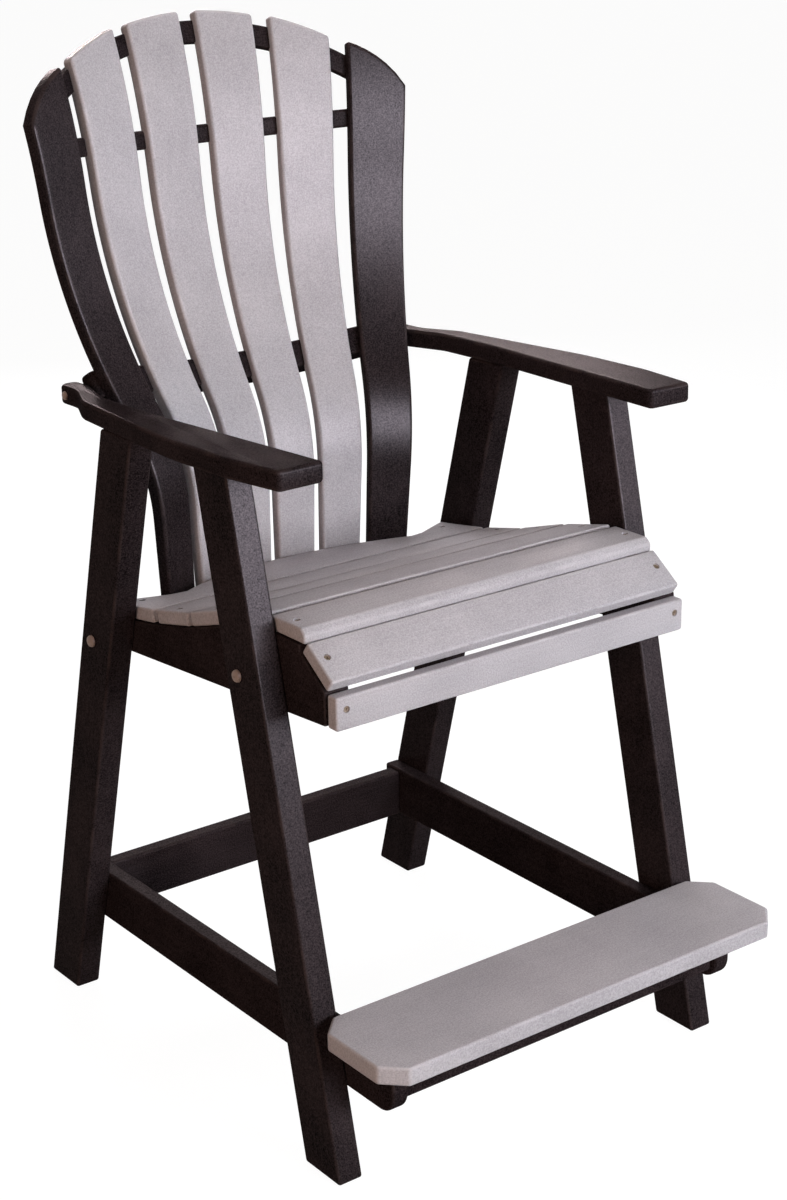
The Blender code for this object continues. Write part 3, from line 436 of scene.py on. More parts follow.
back = {
    "slats": 6, "baseY": 218 * mm, "baseZ": 600 * mm, "radius": 549 * mm,
    # from slat to slat: round the circle, turned to face in, and fanned outwards
    "step": 0.1343839, "turn": math.radians(9.06), "fan": math.radians(1.19),
    "thickness": 19 * mm, "foot": -22 * mm, "width": 59.5 * mm, "widening": 0.0393,
    # lengths up the slat, each with the lean at its upper end
    "bends": ((150 * mm, 0.0), (150 * mm, math.radians(31.5)),
              (325 * mm, math.radians(5)), (245 * mm, math.radians(19))),
    "crownTop": 847 * mm, "crownRadius": 535 * mm, "crownPitch": 115.98 * mm,
    "shoulderRadius": 171 * mm, "shoulderIn": 91.6 * mm, "shoulderUp": 623.5 * mm,
    "rolled": 5 * mm, "rolledSteps": 6, "rimTurn": math.radians(50),
    "edge": 1.2 * mm, "columns": 6, "rows": 64,
}


# how far behind and above the foot a slat is at a distance up its bend, and its lean there
def slatBend(distance):
    rear, height, lean, left = 0.0, 0.0, 0.0, distance
    for index, (length, endLean) in enumerate(back["bends"]):
        last = index == len(back["bends"]) - 1
        run = left if last or left < length else length
        rate = (endLean - lean) / length
        reached = lean + rate * run
        if abs(rate) < 1e-9:    # a straight length
            rear += run * math.sin(lean)
            height += run * math.cos(lean)
        else:
            rear += (math.cos(lean) - math.cos(reached)) / rate
            height += (math.sin(reached) - math.sin(lean)) / rate
        lean = reached
        left -= run
        if last or left <= 0:
            break
    return rear, height, lean


def slatWidth(distance):
    return back["width"] + back["widening"] * distance


# point of the back: slats counted from the middle, distance up the bend, and how far sideways
# on the front face and behind it
def backPoint(number, distance, across=0.0, behind=0.0):
    rear, height, lean = slatBend(distance)
    swing, turn, fan = (number * back[key] for key in ("step", "turn", "fan"))
    outward = Vector((math.sin(turn), math.cos(turn), 0))
    sideways = Vector((math.cos(turn), -math.sin(turn), 0))
    up = sideways * math.sin(fan) + Vector((0, 0, math.cos(fan)))
    width = sideways * math.cos(fan) - Vector((0, 0, math.sin(fan)))
    foot = Vector((back["radius"] * math.sin(swing),
                   back["baseY"] - back["radius"] * (1 - math.cos(swing)) + slide, back["baseZ"]))
    square = outward * math.cos(lean) - up * math.sin(lean)
    return foot + outward * rear + up * height + width * across + square * behind


# top of a slat at a place across it: a wide arc over the light slats, a tight one on the dark
def slatTop(number, across):
    if abs(number) < back["slats"] / 2 - 1:
        aside = number * back["crownPitch"] + across
        radius, middle = back["crownRadius"], back["crownTop"] - back["crownRadius"]
    else:
        aside = back["shoulderIn"] + (across if number > 0 else -across)
        radius, middle = back["shoulderRadius"], back["shoulderUp"]
    return middle + math.sqrt(radius ** 2 - aside ** 2)


# rolls the rim of the front face and the four corners, the rear rim stays crisp
def rollFront(slat, front):
    mesh = slat.data
    normals = {}
    for face in mesh.polygons:
        for key in face.edge_keys:
            normals.setdefault(key, []).append(face.normal.copy())
    rims = {tuple(sorted(tuple(mesh.vertices[index].co) for index in key))
            for key, pair in normals.items() if pair[0].angle(pair[1]) > back["rimTurn"]}
    twoSlots(slat)
    pickEdges(slat, lambda first, second: tuple(sorted((tuple(first), tuple(second)))) in rims
              and (tuple(first) in front or tuple(second) in front))
    bpy.ops.mesh.bevel(offset=back["rolled"], segments=back["rolledSteps"], affect="EDGES",
                       material=1)
    bpy.ops.object.mode_set(mode="OBJECT")


def drawSlat(number, name):
    deselectAll()
    bpy.ops.mesh.primitive_grid_add(x_subdivisions=back["columns"], y_subdivisions=back["rows"],
                                    size=2)
    slat = bpy.context.object
    slat.name = name
    topHalf = slatWidth(back["crownTop"]) / 2
    for vertex in slat.data.vertices:
        aside, share = vertex.co.x, (vertex.co.y + 1) / 2
        distance = back["foot"] + share * (slatTop(number, aside * topHalf) - back["foot"])
        vertex.co = backPoint(number, distance, aside * slatWidth(distance) / 2)
    front = {tuple(vertex.co) for vertex in slat.data.vertices}
    applyModifier(slat, "SOLIDIFY", thickness=back["thickness"], offset=-1, use_even_offset=True)
    rollFront(slat, front)
    easeEdges(slat, back["edge"], segments=2, clamp=False)
    return slat


for index in range(back["slats"]):
    slat = drawSlat(index - (back["slats"] - 1) / 2, "backSlat%d" % (index + 1))
    outer = index in (0, back["slats"] - 1)
    hand(slat, darkUp if outer else lightUp, "dark_board" if outer else "light_board",
         "back_slat_%d" % (index + 1))
print("back slats done")


# rails behind the back: planks hollowed in front to the curve of the slats, and a bent crown rail.
# reach is counted in slats from the middle, at is the distance up the bend

rail = {
    "behind": 14 * mm, "edge": 4 * mm, "pieces": 40, "attempts": 8,
    "upper": {"at": 672 * mm, "thickness": 26 * mm, "depth": 40 * mm, "reach": 2.6},
    "arm": {"at": 337.98 * mm, "thickness": 40 * mm, "depth": 52 * mm, "reach": 2.9785,
            "half": 271.68 * mm, "frontRound": 18 * mm, "rearRound": 22 * mm,
            "roundStep": math.radians(8),
            "endPoints": 4},    # of the hollow, given up to the corners
    "bottom": {"at": -8 * mm, "thickness": 25 * mm, "depth": 56 * mm, "reach": 3.0},
    "crown": {"radius": 500 * mm, "drop": 11 * mm, "height": 32 * mm, "depth": 20 * mm,
              "reach": 2.55, "edge": 2.5 * mm, "columns": 72},
}


# front edge of a plank that lies square to the middle of the back, with its place and lean
def hollowEdge(at, reach):
    lean = slatBend(at)[2]
    origin = backPoint(0, at, 0, rail["behind"])
    rearward = Vector((0, math.cos(lean), -math.sin(lean)))
    normal = Vector((0, math.sin(lean), math.cos(lean)))
    edge = []
    for piece in range(rail["pieces"] + 1):
        number, distance = reach * (2 * piece / rail["pieces"] - 1), at
        for attempt in range(rail["attempts"]):    # closes in on the plank's own plane
            point = backPoint(number, distance, 0, rail["behind"])
            distance -= (point - origin).dot(normal)
        edge.append(((point - origin).x, (point - origin).dot(rearward)))
    return edge, origin, lean


def setPlank(name, outline, thickness, origin, lean, node):
    board = cutBoard(name, outline, thickness)
    easeEdges(board, rail["edge"], clamp=False)
    board.rotation_euler = (-lean, 0, 0)
    board.location = origin
    applyPlace(board)
    hand(board, darkAcross, "dark_board", node)


plank = rail["upper"]
edge, origin, lean = hollowEdge(plank["at"], plank["reach"])
outline = edge + [(x, y + plank["depth"]) for x, y in reversed(edge)]
setPlank("upperBackRail", outline, plank["thickness"], origin, lean, "upper_back_rail")

plank = rail["arm"]
edge, origin, lean = hollowEdge(plank["at"], plank["reach"])
half, frontY = plank["half"], edge[0][1]
rearY = frontY + plank["depth"]
hollow = [(x, y, 0) for x, y in edge[plank["endPoints"]:-plank["endPoints"]]]
corners = [(-half, rearY, plank["rearRound"]), (-half, frontY, plank["frontRound"]), *hollow,
           (half, frontY, plank["frontRound"]), (half, rearY, plank["rearRound"])]
corners += [(x, y + plank["depth"], 0) for x, y, radius in reversed(hollow)]
setPlank("armLevelBackRail", roundCorners(corners, plank["roundStep"]), plank["thickness"],
         origin, lean, "arm_level_back_rail")

plank = rail["bottom"]
edge, origin, lean = hollowEdge(plank["at"], plank["reach"])
low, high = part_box("bottom_back_rail")
half, rearY = high.x, high.y - origin.y
step = rearY - plank["depth"]
shoulder = edge[-1][0] + (step - edge[-1][1]) / 2
outline = [(-half, rearY), (-half, step), (-shoulder, step), *edge,
           (shoulder, step), (half, step), (half, rearY)]
setPlank("bottomBackRail", outline, plank["thickness"], origin, lean, "bottom_back_rail")

plank = rail["crown"]
deselectAll()
bpy.ops.mesh.primitive_grid_add(x_subdivisions=plank["columns"], y_subdivisions=2, size=2)
board = bpy.context.object
board.name = "crownBackRail"
for vertex in board.data.vertices:
    number, share = vertex.co.x * plank["reach"], (vertex.co.y + 1) / 2
    aside = number * back["crownPitch"]
    rise = math.sqrt(plank["radius"] ** 2 - aside ** 2) - plank["radius"]
    distance = back["crownTop"] + rise - plank["drop"] - plank["height"] * (1 - share)
    vertex.co = backPoint(number, distance, 0, rail["behind"])
applyModifier(board, "SOLIDIFY", thickness=plank["depth"], offset=-1, use_even_offset=True)
easeEdges(board, plank["edge"], segments=3, clamp=False)
hand(board, darkAcross, "dark_board", "crown_back_rail")
print("back rails done")


# arms: flat boards with a straight nose, a bowed outer side and a narrow tail

arm = {
    "front": -294 * mm, "top": 946 * mm, "thickness": 27.5 * mm, "fall": math.radians(1.03),
    "edge": 5.4 * mm, "roundStep": math.radians(2.5),
    "length": 593.97 * mm, "noseInner": 267.5 * mm, "noseOuter": 338 * mm, "waist": 294 * mm,
    "widest": 354 * mm, "tailInner": 271.98 * mm, "tailOuter": 301.98 * mm,
}


def drawArm():
    length, widest = arm["length"], arm["widest"]
    corners = (    # place across, distance from the nose, rounding
        (arm["noseInner"], 2 * mm, 9 * mm),
        (arm["noseOuter"], 0.0, 7 * mm),
        (widest - 2 * mm, 100 * mm, 166 * mm),
        (widest, 224 * mm, 500 * mm),
        (widest - 17 * mm, length - 190 * mm, 500 * mm),
        (widest - 25 * mm, length - 110 * mm, 60 * mm),
        (arm["tailOuter"], length - 50 * mm, 60 * mm),
        (arm["tailOuter"], length, 12 * mm),
        (arm["tailInner"], length, 12 * mm),
        (arm["tailInner"], length - 38 * mm, 60 * mm),
        (arm["waist"], length - 110 * mm, 60 * mm),
        (arm["waist"], length - 230 * mm, 500 * mm),
    )
    board = cutBoard("rightArm", roundCorners(corners, arm["roundStep"]), arm["thickness"])
    easeEdges(board, arm["edge"], segments=5, clamp=False)
    board.location = (0, 0, -arm["thickness"] / 2)
    applyPlace(board)
    board.rotation_euler = (-arm["fall"], 0, 0)
    board.location = (0, arm["front"] + slide, arm["top"])
    applyPlace(board)
    return board


def mirrorPiece(piece, name):
    twin = copyPiece(piece, name)
    twin.scale = (-1, 1, 1)
    applyPlace(twin)
    bpy.ops.object.mode_set(mode="EDIT")
    bpy.ops.mesh.select_all(action="SELECT")
    bpy.ops.mesh.normals_make_consistent(inside=False)
    bpy.ops.object.mode_set(mode="OBJECT")
    return twin


rightArm = drawArm()
leftArm = mirrorPiece(rightArm, "leftArm")
hand(rightArm, darkArm, "dark_board", "right_arm")
hand(leftArm, darkArm, "dark_board", "left_arm")
print("arms done")


# legs: planks leant to their angle, sawn level at the floor and to the slope of the arm

leg = {
    "thickness": 38 * mm, "width": 75 * mm, "middleX": 316 * mm, "footY": 339 * mm,
    "lean": {"front": math.radians(12.65), "rear": math.radians(-15.1)},
    "underArm": 0.3 * mm, "edge": 4 * mm,
    "stock": 2.2,    # length before both ends are sawn off
}


def drawLeg(place, sign):
    footY = (leg["footY"] if place == "rear" else -leg["footY"]) + slide
    board = sawBoard("leg", (leg["thickness"], leg["width"], leg["stock"]),
                     (sign * leg["middleX"], footY, 0), -leg["lean"][place])
    bpy.ops.object.mode_set(mode="EDIT")
    bpy.ops.mesh.select_all(action="SELECT")
    bpy.ops.mesh.bisect(plane_co=(0, 0, 0), plane_no=(0, 0, 1), use_fill=True, clear_inner=True)
    bpy.ops.mesh.select_all(action="SELECT")
    under = arm["top"] - arm["thickness"] / math.cos(arm["fall"]) - leg["underArm"]
    bpy.ops.mesh.bisect(plane_co=(0, arm["front"] + slide, under),
                        plane_no=(0, math.sin(arm["fall"]), math.cos(arm["fall"])),
                        use_fill=True, clear_outer=True)
    bpy.ops.object.mode_set(mode="OBJECT")
    easeEdges(board, leg["edge"])
    return board


for side, sign in (("left", -1), ("right", 1)):
    for place in ("front", "rear"):
        board = drawLeg(place, sign)
        board.name = side + place.capitalize() + "Leg"
        hand(board, darkUp, "dark_board", "%s_%s_leg" % (side, place))
print("legs done")


# seat: each slat is a plank laid on its line in the side view, with sunk screw holes.
# places in the side view are pairs of y and z, slopes are in degrees and fall to the rear

seat = {
    "half": 293 * mm, "thickness": 20 * mm, "frontY": -273 * mm, "height": 729 * mm,
    "gap": 8 * mm, "depths": (75 * mm, 92 * mm, 92 * mm, 82 * mm),
    "slopes": (0.0, 13.0, 17.2, 12.8), "rearSlope": 9.0, "rearEndY": 199 * mm,
    "chamfer": 8 * mm, "edge": 3.6 * mm,
    "trim": 1.3 * mm,    # taken off long edges where the gap is wider
    "trims": ((0, 1), (1, 0), (0, 0), (0, 1)),    # front and rear edge of each slat
    "cornerLength": 71 * mm, "cornerSlant": 43 * mm, "notch": 22 * mm,
    "hollow": 351.36 * mm, "hollowPieces": 40, "backGap": 3 * mm,
    "noseDepth": 64.5 * mm, "noseSlope": 36.0, "noseForward": 4.8 * mm, "noseDown": 15.1 * mm,
    "screwX": 277.7 * mm, "screwRise": 5 * mm, "rearScrewIn": 11 * mm, "rearScrewAt": 70 * mm,
}


def alongSlope(start, slope, distance, lift=0.0):
    return (start[0] + distance * math.cos(slope) + lift * math.sin(slope),
            start[1] - distance * math.sin(slope) + lift * math.cos(slope))


# wood screw: countersunk, with a square drive pressed into its head, in a sunk hole
screw = {
    "radius": 4.5 * mm, "shank": 2.5 * mm, "height": 3.5 * mm, "sink": 2 * mm,
    "drive": 1.7 * mm, "driveDepth": 1.8 * mm, "length": 42 * mm,
    "holeRadius": 4.8 * mm, "holeDepth": 4.6 * mm, "sides": 32, "smooth": math.radians(35),
    "level": 0.9,    # least share of a normal along Z on a level face
}


# hole drilled square to the face that it is on
def drillHole(board, face, direction):
    deselectAll()
    turn = Vector(direction).to_track_quat("Z", "Y").to_euler()
    bpy.ops.mesh.primitive_cylinder_add(vertices=screw["sides"], radius=screw["holeRadius"],
                                        depth=2 * screw["holeDepth"], location=face, rotation=turn)
    cutAway(board, bpy.context.object)


def drawScrew():
    deselectAll()
    bpy.ops.mesh.primitive_cylinder_add(vertices=screw["sides"], radius=screw["radius"],
                                        depth=screw["height"],
                                        location=(0, 0, -screw["sink"] - screw["height"] / 2))
    piece = bpy.context.object
    applyPlace(piece)
    pickFaces(piece, lambda middle, normal: normal.z < -screw["level"])
    slim = screw["shank"] / screw["radius"]
    neck = screw["sink"] + screw["height"]
    bpy.ops.transform.resize(value=(slim, slim, 1), center_override=(0, 0, -neck))
    bpy.ops.mesh.extrude_region_move(
        TRANSFORM_OT_translate={"value": (0, 0, neck - screw["length"])})
    bpy.ops.object.mode_set(mode="OBJECT")
    deselectAll()
    across, depth = 2 * screw["drive"], 2 * screw["driveDepth"]
    bpy.ops.mesh.primitive_cube_add(size=1, location=(0, 0, -screw["sink"]),
                                    scale=(across, across, depth))
    cutAway(piece, bpy.context.object)
    pickOnly(piece)
    bpy.ops.object.shade_smooth_by_angle(angle=screw["smooth"])
    return piece


# a copy of a screw, bolt or nut drawn about Z, set on a face and turned to a direction
def setFastener(pattern, name, face, direction, material, slot, node):
    piece = copyPiece(pattern, name)
    piece.rotation_euler = Vector(direction).to_track_quat("Z", "Y").to_euler()
    piece.location = face
    applyPlace(piece)
    hand(piece, material, slot, node)


def pieceName(node):
    words = node.split("_")
    return words[0] + "".join(word.capitalize() for word in words[1:])


seatLines = [((seat["frontY"], seat["height"]), math.radians(seat["slopes"][0]), seat["depths"][0])]
for depth, degrees in zip(seat["depths"][1:], seat["slopes"][1:]):
    start, slope, before = seatLines[-1]
    start = alongSlope(start, slope, before + seat["gap"])
    seatLines.append((start, math.radians(degrees), depth))
start, slope, before = seatLines[-1]
rearStart = alongSlope(start, slope, before + seat["gap"])
rearSlope = math.radians(seat["rearSlope"])
rearDepth = (seat["rearEndY"] - rearStart[0]) / math.cos(rearSlope)

woodScrew = drawScrew()
boards = []    # with the place of the screws in the side view, the slope, their x and the node

for index, (start, slope, depth) in enumerate(seatLines):
    trims = [seat["trim"] * share for share in seat["trims"][index]]
    middle = alongSlope(start, slope, (depth + trims[0] - trims[1]) / 2, -seat["thickness"] / 2)
    board = sawBoard("seatSlat%d" % (index + 1),
                     (2 * seat["half"], depth - sum(trims), seat["thickness"]),
                     (0, middle[0] + slide, middle[1]), -slope)
    if index == 0:
        topZ, frontY = seat["height"] - mm, start[0] + slide + mm
        pickEdges(board, lambda a, b: min(a.z, b.z) > topZ and max(a.y, b.y) < frontY)
        bpy.ops.mesh.bevel(offset=seat["chamfer"], segments=1, affect="EDGES")
        bpy.ops.object.mode_set(mode="OBJECT")
    face = alongSlope(start, slope, depth / 2)
    boards.append((board, face, slope, seat["screwX"], "seat_slat_%d" % (index + 1)))

noseSlope = -math.radians(seat["noseSlope"])
noseTop = (seat["frontY"] - seat["noseForward"], seat["height"] - seat["noseDown"])
middle = alongSlope(noseTop, noseSlope, -seat["noseDepth"] / 2, -seat["thickness"] / 2)
nose = sawBoard("seatNose", (2 * seat["half"], seat["noseDepth"], seat["thickness"]),
                (0, middle[0] + slide, middle[1]), -noseSlope)
face = alongSlope(noseTop, noseSlope, seat["screwRise"] - seat["noseDepth"] / 2)
boards.append((nose, face, noseSlope, seat["screwX"], "seat_nose_slat"))

low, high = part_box("seat_apron")
apron = sawBoard("seatApron", high - low, (low + high) / 2)
face = (low.y - slide, (low.z + high.z) / 2 + seat["screwRise"])
boards.append((apron, face, -math.pi / 2, seat["screwX"], "seat_apron"))

# the rear slat is hollowed behind, round the feet of the back
corner = (seat["half"] - seat["cornerLength"], rearDepth - seat["cornerSlant"])
widest = math.asin((corner[0] - seat["notch"]) / seat["hollow"])
outline = [(-seat["half"], seat["trim"]), (seat["half"], seat["trim"]),
           (seat["half"], rearDepth), corner]
for piece in range(seat["hollowPieces"] + 1):
    turn = widest * (1 - 2 * piece / seat["hollowPieces"])
    y = back["baseY"] - seat["backGap"] - seat["hollow"] * (1 - math.cos(turn))
    outline.append((seat["hollow"] * math.sin(turn), (y - rearStart[0]) / math.cos(rearSlope)))
outline += [(-corner[0], corner[1]), (-seat["half"], rearDepth)]
rear = cutBoard("seatSlat5", outline, seat["thickness"])
rear.rotation_euler = (-rearSlope, 0, 0)
middle = alongSlope(rearStart, rearSlope, 0.0, -seat["thickness"] / 2)
rear.location = (0, middle[0] + slide, middle[1])
applyPlace(rear)
face = alongSlope(rearStart, rearSlope, seat["rearScrewAt"])
boards.append((rear, face, rearSlope, seat["screwX"] - seat["rearScrewIn"], "seat_slat_5"))

for board, face, slope, screwX, node in boards:
    direction = (0, math.sin(slope), math.cos(slope))
    easeEdges(board, seat["edge"])
    for side, sign in (("left", -1), ("right", 1)):
        point = (sign * screwX, face[0] + slide, face[1])
        drillHole(board, point, direction)
        name = "%s_%s_screw" % (side, node)
        setFastener(woodScrew, pieceName(name), point, direction, dipped, "steel", name)
    hand(board, lightAcross, "light_board", node)
print("seat done")


# seat rails: planks on edge, with one flat on top for each slat of the seat

seatRail = {"fit": 0.3 * mm, "slope": math.radians(4.25), "rearHeight": 27 * mm, "edge": 2.5 * mm}


# outline in the side view, raised to its thickness between two places on X
def sideBoard(name, outline, low, high):
    board = cutBoard(name, outline, high.x - low.x)
    board.rotation_euler = (math.pi / 2, 0, math.pi / 2)
    board.location = ((low.x + high.x) / 2, slide, 0)
    applyPlace(board)
    return board


# where two sloping lines of the side view cross
def meetingPoint(first, firstSlope, second, secondSlope):
    fall, otherFall = math.tan(firstSlope), math.tan(secondSlope)
    y = (first[1] - second[1] + fall * first[0] - otherFall * second[0]) / (fall - otherFall)
    return y, first[1] - fall * (y - first[0])


sunk = -seat["thickness"] - seatRail["fit"]
flats = [(alongSlope(start, slope, 0, sunk), slope) for start, slope, depth in seatLines]
flats.append((alongSlope(rearStart, rearSlope, 0, sunk), rearSlope))
noseFlat = alongSlope(noseTop, noseSlope, 0, sunk)
for side in ("left", "right"):
    low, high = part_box(side + "_seat_rail")
    frontY, rearY = low.y - slide, high.y - slide
    frontZ = low.z + math.tan(seatRail["slope"]) * (high.y - low.y)
    noseLowZ = noseFlat[1] + math.tan(noseSlope) * (noseFlat[0] - frontY)
    outline = [(frontY, frontZ), (frontY, noseLowZ), noseFlat, (noseFlat[0], flats[0][0][1])]
    for (first, firstSlope), (second, secondSlope) in zip(flats, flats[1:]):
        outline.append(meetingPoint(first, firstSlope, second, secondSlope))
    outline.append(alongSlope(rearStart, rearSlope, rearDepth, sunk))
    outline += [(rearY, low.z + seatRail["rearHeight"]), (rearY, low.z)]
    board = sideBoard(side + "SeatRail", outline, low, high)
    easeEdges(board, seatRail["edge"], segments=3, clamp=False)
    hand(board, darkAlong, "dark_board", side + "_seat_rail")
print("seat rails done")


# footrest: a thick board with its four corners sawn off

footrest = {"clip": 30 * mm, "edge": 4 * mm}
low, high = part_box("footrest")
board = sawBoard("footrestBoard", high - low, (low + high) / 2)
upright = (high.z - low.z) / 2
pickEdges(board, lambda a, b: abs(a.z - b.z) > upright)
bpy.ops.mesh.bevel(offset=footrest["clip"], segments=1, affect="EDGES")
bpy.ops.object.mode_set(mode="OBJECT")
easeEdges(board, footrest["edge"])
hand(board, lightAcross, "light_board", "footrest")
print("footrest done")


# lower frame: side stretchers with a rounded nose, and two plain cross boards between them

stretcher = {"nose": 30 * mm, "roundStep": math.radians(6), "edge": 4 * mm}

for side, sign in (("left", -1), ("right", 1)):
    low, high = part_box(side + "_stretcher")
    frontY, rearY = low.y - slide, high.y - slide
    corners = ((rearY, low.z, 0), (rearY, high.z, 0),
               (frontY, high.z, 0), (frontY, low.z, stretcher["nose"]))
    outline = roundCorners(corners, stretcher["roundStep"])
    board = sideBoard(side + "Stretcher", outline, low, high)
    easeEdges(board, stretcher["edge"], clamp=False)
    innerX, inwards = (low.x if sign > 0 else high.x), (-sign, 0, 0)
    for place in ("front", "rear"):
        name = "%s_%s_stretcher_screw" % (side, place)
        head = sum(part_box(name), Vector()) / 2
        point = (innerX, head.y, head.z)
        drillHole(board, point, inwards)
        setFastener(woodScrew, pieceName(name), point, inwards, dipped, "steel", name)
    hand(board, darkAlong, "dark_board", side + "_stretcher")
dropPiece(woodScrew)

for node in ("rear_stretcher", "footrest_cross_rail"):
    low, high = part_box(node)
    board = sawBoard(pieceName(node), high - low, (low + high) / 2)
    easeEdges(board, stretcher["edge"])
    hand(board, darkAcross, "dark_board", node)
print("lower frame done")


# bolts and tail screws under domed caps, hexagon nuts inside the seat rails

cap = {
    "bolt": {"radius": 8.5 * mm, "height": 4 * mm, "shank": 4 * mm, "round": 2.6 * mm},
    "tail": {"radius": 6 * mm, "height": 2.5 * mm, "shank": 2.5 * mm, "round": 1.8 * mm},
    "crown": 0.35,      # of the top that stays flat
    "rise": 0.12,       # of the height, added in the middle
    "level": 0.99,      # least share of a normal along Z on a level face
    "sides": 48, "roundSteps": 6, "smooth": math.radians(40),
}
nut = {"radius": 8 * mm, "sides": 6, "bore": 4.1 * mm, "boreSides": 40, "edge": 0.6 * mm}


# a cap on z = 0 with its shank below, both turned round Z
def drawCap(name, kind, length):
    size = cap[kind]
    deselectAll()
    bpy.ops.mesh.primitive_cylinder_add(vertices=cap["sides"], radius=size["radius"],
                                        depth=size["height"], location=(0, 0, size["height"] / 2))
    piece = bpy.context.object
    piece.name = name
    applyPlace(piece)
    pickEdges(piece, lambda a, b: min(a.z, b.z) > size["height"] / 2)
    bpy.ops.mesh.bevel(offset=size["round"], segments=cap["roundSteps"], affect="EDGES")
    pickFaces(piece, lambda middle, normal: normal.z > cap["level"])
    flat = size["radius"] - size["round"]
    bpy.ops.mesh.inset(thickness=flat * (1 - cap["crown"]))
    bpy.ops.transform.translate(value=(0, 0, cap["rise"] * size["height"]))
    pickFaces(piece, lambda middle, normal: normal.z < -cap["level"])
    bpy.ops.mesh.inset(thickness=size["radius"] - size["shank"])
    bpy.ops.mesh.extrude_region_move(TRANSFORM_OT_translate={"value": (0, 0, -length)})
    bpy.ops.object.mode_set(mode="OBJECT")
    pickOnly(piece)
    bpy.ops.object.shade_smooth_by_angle(angle=cap["smooth"])
    return piece


def drawNut(name, height):
    deselectAll()
    bpy.ops.mesh.primitive_cylinder_add(vertices=nut["sides"], radius=nut["radius"], depth=height)
    piece = bpy.context.object
    piece.name = name
    deselectAll()
    bpy.ops.mesh.primitive_cylinder_add(vertices=nut["boreSides"], radius=nut["bore"],
                                        depth=2 * height)
    cutAway(piece, bpy.context.object)
    easeEdges(piece, nut["edge"], segments=2)
    return piece


capped = (("front_seat_bolt", "bolt"), ("rear_seat_bolt", "bolt"), ("arm_tail_screw", "tail"))
for side, sign in (("left", -1), ("right", 1)):
    outwards = (sign, 0, 0)
    for node, kind in capped:
        name = "%s_%s" % (side, node)
        low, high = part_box(name)
        middle = (low + high) / 2
        faceX = (high.x if sign > 0 else low.x) - sign * cap[kind]["height"]
        pattern = drawCap(name, kind, high.x - low.x - cap[kind]["height"])
        setFastener(pattern, pieceName(name), (faceX, middle.y, middle.z), outwards, tanCap,
                    "tan_cap", name)
        dropPiece(pattern)
    for place in ("front", "rear"):
        name = "%s_%s_seat_nut" % (side, place)
        low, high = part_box(name)
        pattern = drawNut(name, high.x - low.x)
        setFastener(pattern, pieceName(name), (low + high) / 2, outwards, steel, "steel", name)
        dropPiece(pattern)
print("fasteners done")


# studio: white sweep, five soft boxes, a dim warm room, and windows that only the shine shows

studio = {
    "floorSize": 160.0, "floorDown": 0.5 * mm,
    "floorGlow": 0.96,      # white that is seen
    "floorWhite": 0.1,      # paper that takes the shadow, added to it
    "floorBounce": 0.3,     # paper that lights the chair from below
    "room": "#7a6c64", "roomStrength": 0.4, "aim": (0, 0, 0.9),
    # soft boxes: place, size, power and colour
    "lamps": {"key": ((0.7, -3.5, 1.5), (1.6, 1.0), 128, (0.90, 0.94, 0.98)),
              "left": ((-3.1, -2.0, 1.3), (1.6, 1.6), 44, (1.0, 0.70, 0.54)),
              "ceiling": ((0.1, 0.8, 3.0), (2.0, 2.0), 32, (1.0, 0.95, 0.93)),
              "right": ((3.3, 0.7, 1.3), (1.6, 1.6), 44, (1.0, 0.93, 0.88)),
              "rear": ((1.7, 3.5, 1.9), (1.8, 1.4), 60, (0.97, 0.97, 1.0))},
    # daylight windows that are only seen mirrored in the boards
    "windows": {"front": ((-0.2, -3.6, 1.75), (1.6, 1.4), 1680, (0.95, 0.87, 1.0)),
                "right": ((1.6, -3.6, 1.4), (2.0, 1.4), 1490, (0.95, 0.87, 1.0)),
                "side": ((2.9, -1.8, 1.4), (1.2, 1.1), 380, (0.95, 0.87, 1.0)),
                "back": ((1.75, 3.5, 2.45), (3.0, 0.9), 1600, (1.0, 0.84, 0.84))},
}


# 1 for rays from the camera, a shine or glass, which see white, and 0 for rays that carry light
def seenRays(tree):
    rays = addNode(tree, "ShaderNodeLightPath").outputs
    seen = addNode(tree, "ShaderNodeMath", {"operation": "MAXIMUM"},
                   {0: rays["Is Camera Ray"], 1: rays["Is Glossy Ray"]}).outputs[0]
    return addNode(tree, "ShaderNodeMath", {"operation": "MAXIMUM"},
                   {0: seen, 1: rays["Is Transmission Ray"]}).outputs[0]


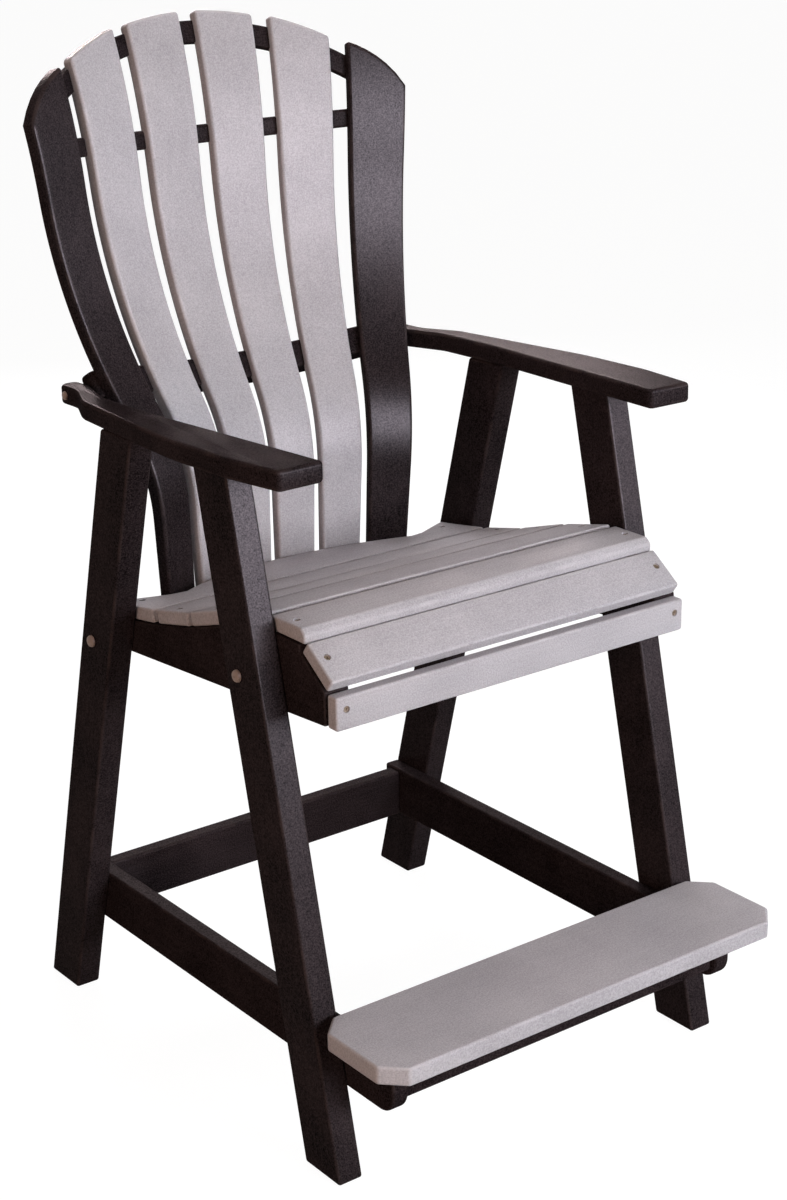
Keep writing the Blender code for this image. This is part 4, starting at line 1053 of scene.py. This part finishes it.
deselectAll()
bpy.ops.mesh.primitive_plane_add(size=studio["floorSize"], location=(0, 0, -studio["floorDown"]))
floor = bpy.context.object
floor.name = "studioFloor"
applyPlace(floor)
material, tree, shader = startMaterial("whitePaperSweep")
tree.nodes.remove(shader)
paper = addNode(tree, "ShaderNodeBsdfDiffuse", {"Color": (studio["floorWhite"],) * 3 + (1,)})
glow = addNode(tree, "ShaderNodeEmission", {
    "Color": (1, 1, 1, 1), "Strength": studio["floorGlow"],
})
lit = addNode(tree, "ShaderNodeAddShader", {}, {0: paper.outputs[0], 1: glow.outputs[0]})
plain = addNode(tree, "ShaderNodeBsdfDiffuse", {"Color": (studio["floorBounce"],) * 3 + (1,)})
either = addNode(tree, "ShaderNodeMixShader", {}, {
    0: seenRays(tree), 1: plain.outputs[0], 2: lit.outputs[0],
})
tree.links.new(either.outputs[0], tree.nodes["Material Output"].inputs["Surface"])
floor.data.materials.append(material)

world = bpy.data.worlds.new("studioRoom")
bpy.context.scene.world = world
world.use_nodes = True
tree = world.node_tree
room = tree.nodes["Background"]
room.inputs["Color"].default_value = linearFrom(studio["room"])
room.inputs["Strength"].default_value = studio["roomStrength"]
white = addNode(tree, "ShaderNodeBackground", {"Color": (1, 1, 1, 1), "Strength": 1.0})
either = addNode(tree, "ShaderNodeMixShader", {}, {
    0: seenRays(tree), 1: room.outputs[0], 2: white.outputs[0],
})
tree.links.new(either.outputs[0], tree.nodes["World Output"].inputs["Surface"])

for kind in ("lamps", "windows"):
    for name, (place, size, power, colour) in studio[kind].items():
        deselectAll()
        turn = (Vector(place) - Vector(studio["aim"])).to_track_quat("Z", "Y").to_euler()
        bpy.ops.object.light_add(type="AREA", location=place, rotation=turn)
        lamp = bpy.context.object
        lamp.name = name + kind.capitalize()
        lamp.data.shape = "RECTANGLE"
        lamp.data.size, lamp.data.size_y = size
        lamp.data.energy = power
        lamp.data.color = colour
        lamp.visible_diffuse = kind == "lamps"
        lamp.visible_glossy = kind == "windows"

# camera at the photograph's place, with the picture's axes in the chair's own frame
camera = {
    "place": (-1.797682, -2.460268, 1.693629), "focalPixels": 2285.03, "pictureHeight": 1200,
    "right": (0.796242, -0.604795, -0.01486), "up": (0.210705, 0.254211, 0.943918),
    "back": (-0.567099, -0.754718, 0.329847), "sensor": 24.0, "farthest": 300,
}
deselectAll()
bpy.ops.object.camera_add()
eye = bpy.context.object
axes = Matrix((camera["right"], camera["up"], camera["back"])).transposed().to_4x4()
eye.matrix_world = Matrix.Translation(Vector(camera["place"]) + Vector((0, slide, 0))) @ axes
eye.data.sensor_fit = "VERTICAL"
eye.data.sensor_height = camera["sensor"]
eye.data.lens = camera["focalPixels"] * camera["sensor"] / camera["pictureHeight"]
eye.data.clip_end = camera["farthest"]
bpy.context.scene.camera = eye
bpy.context.scene.view_settings.view_transform = "Standard"
print("studio done")
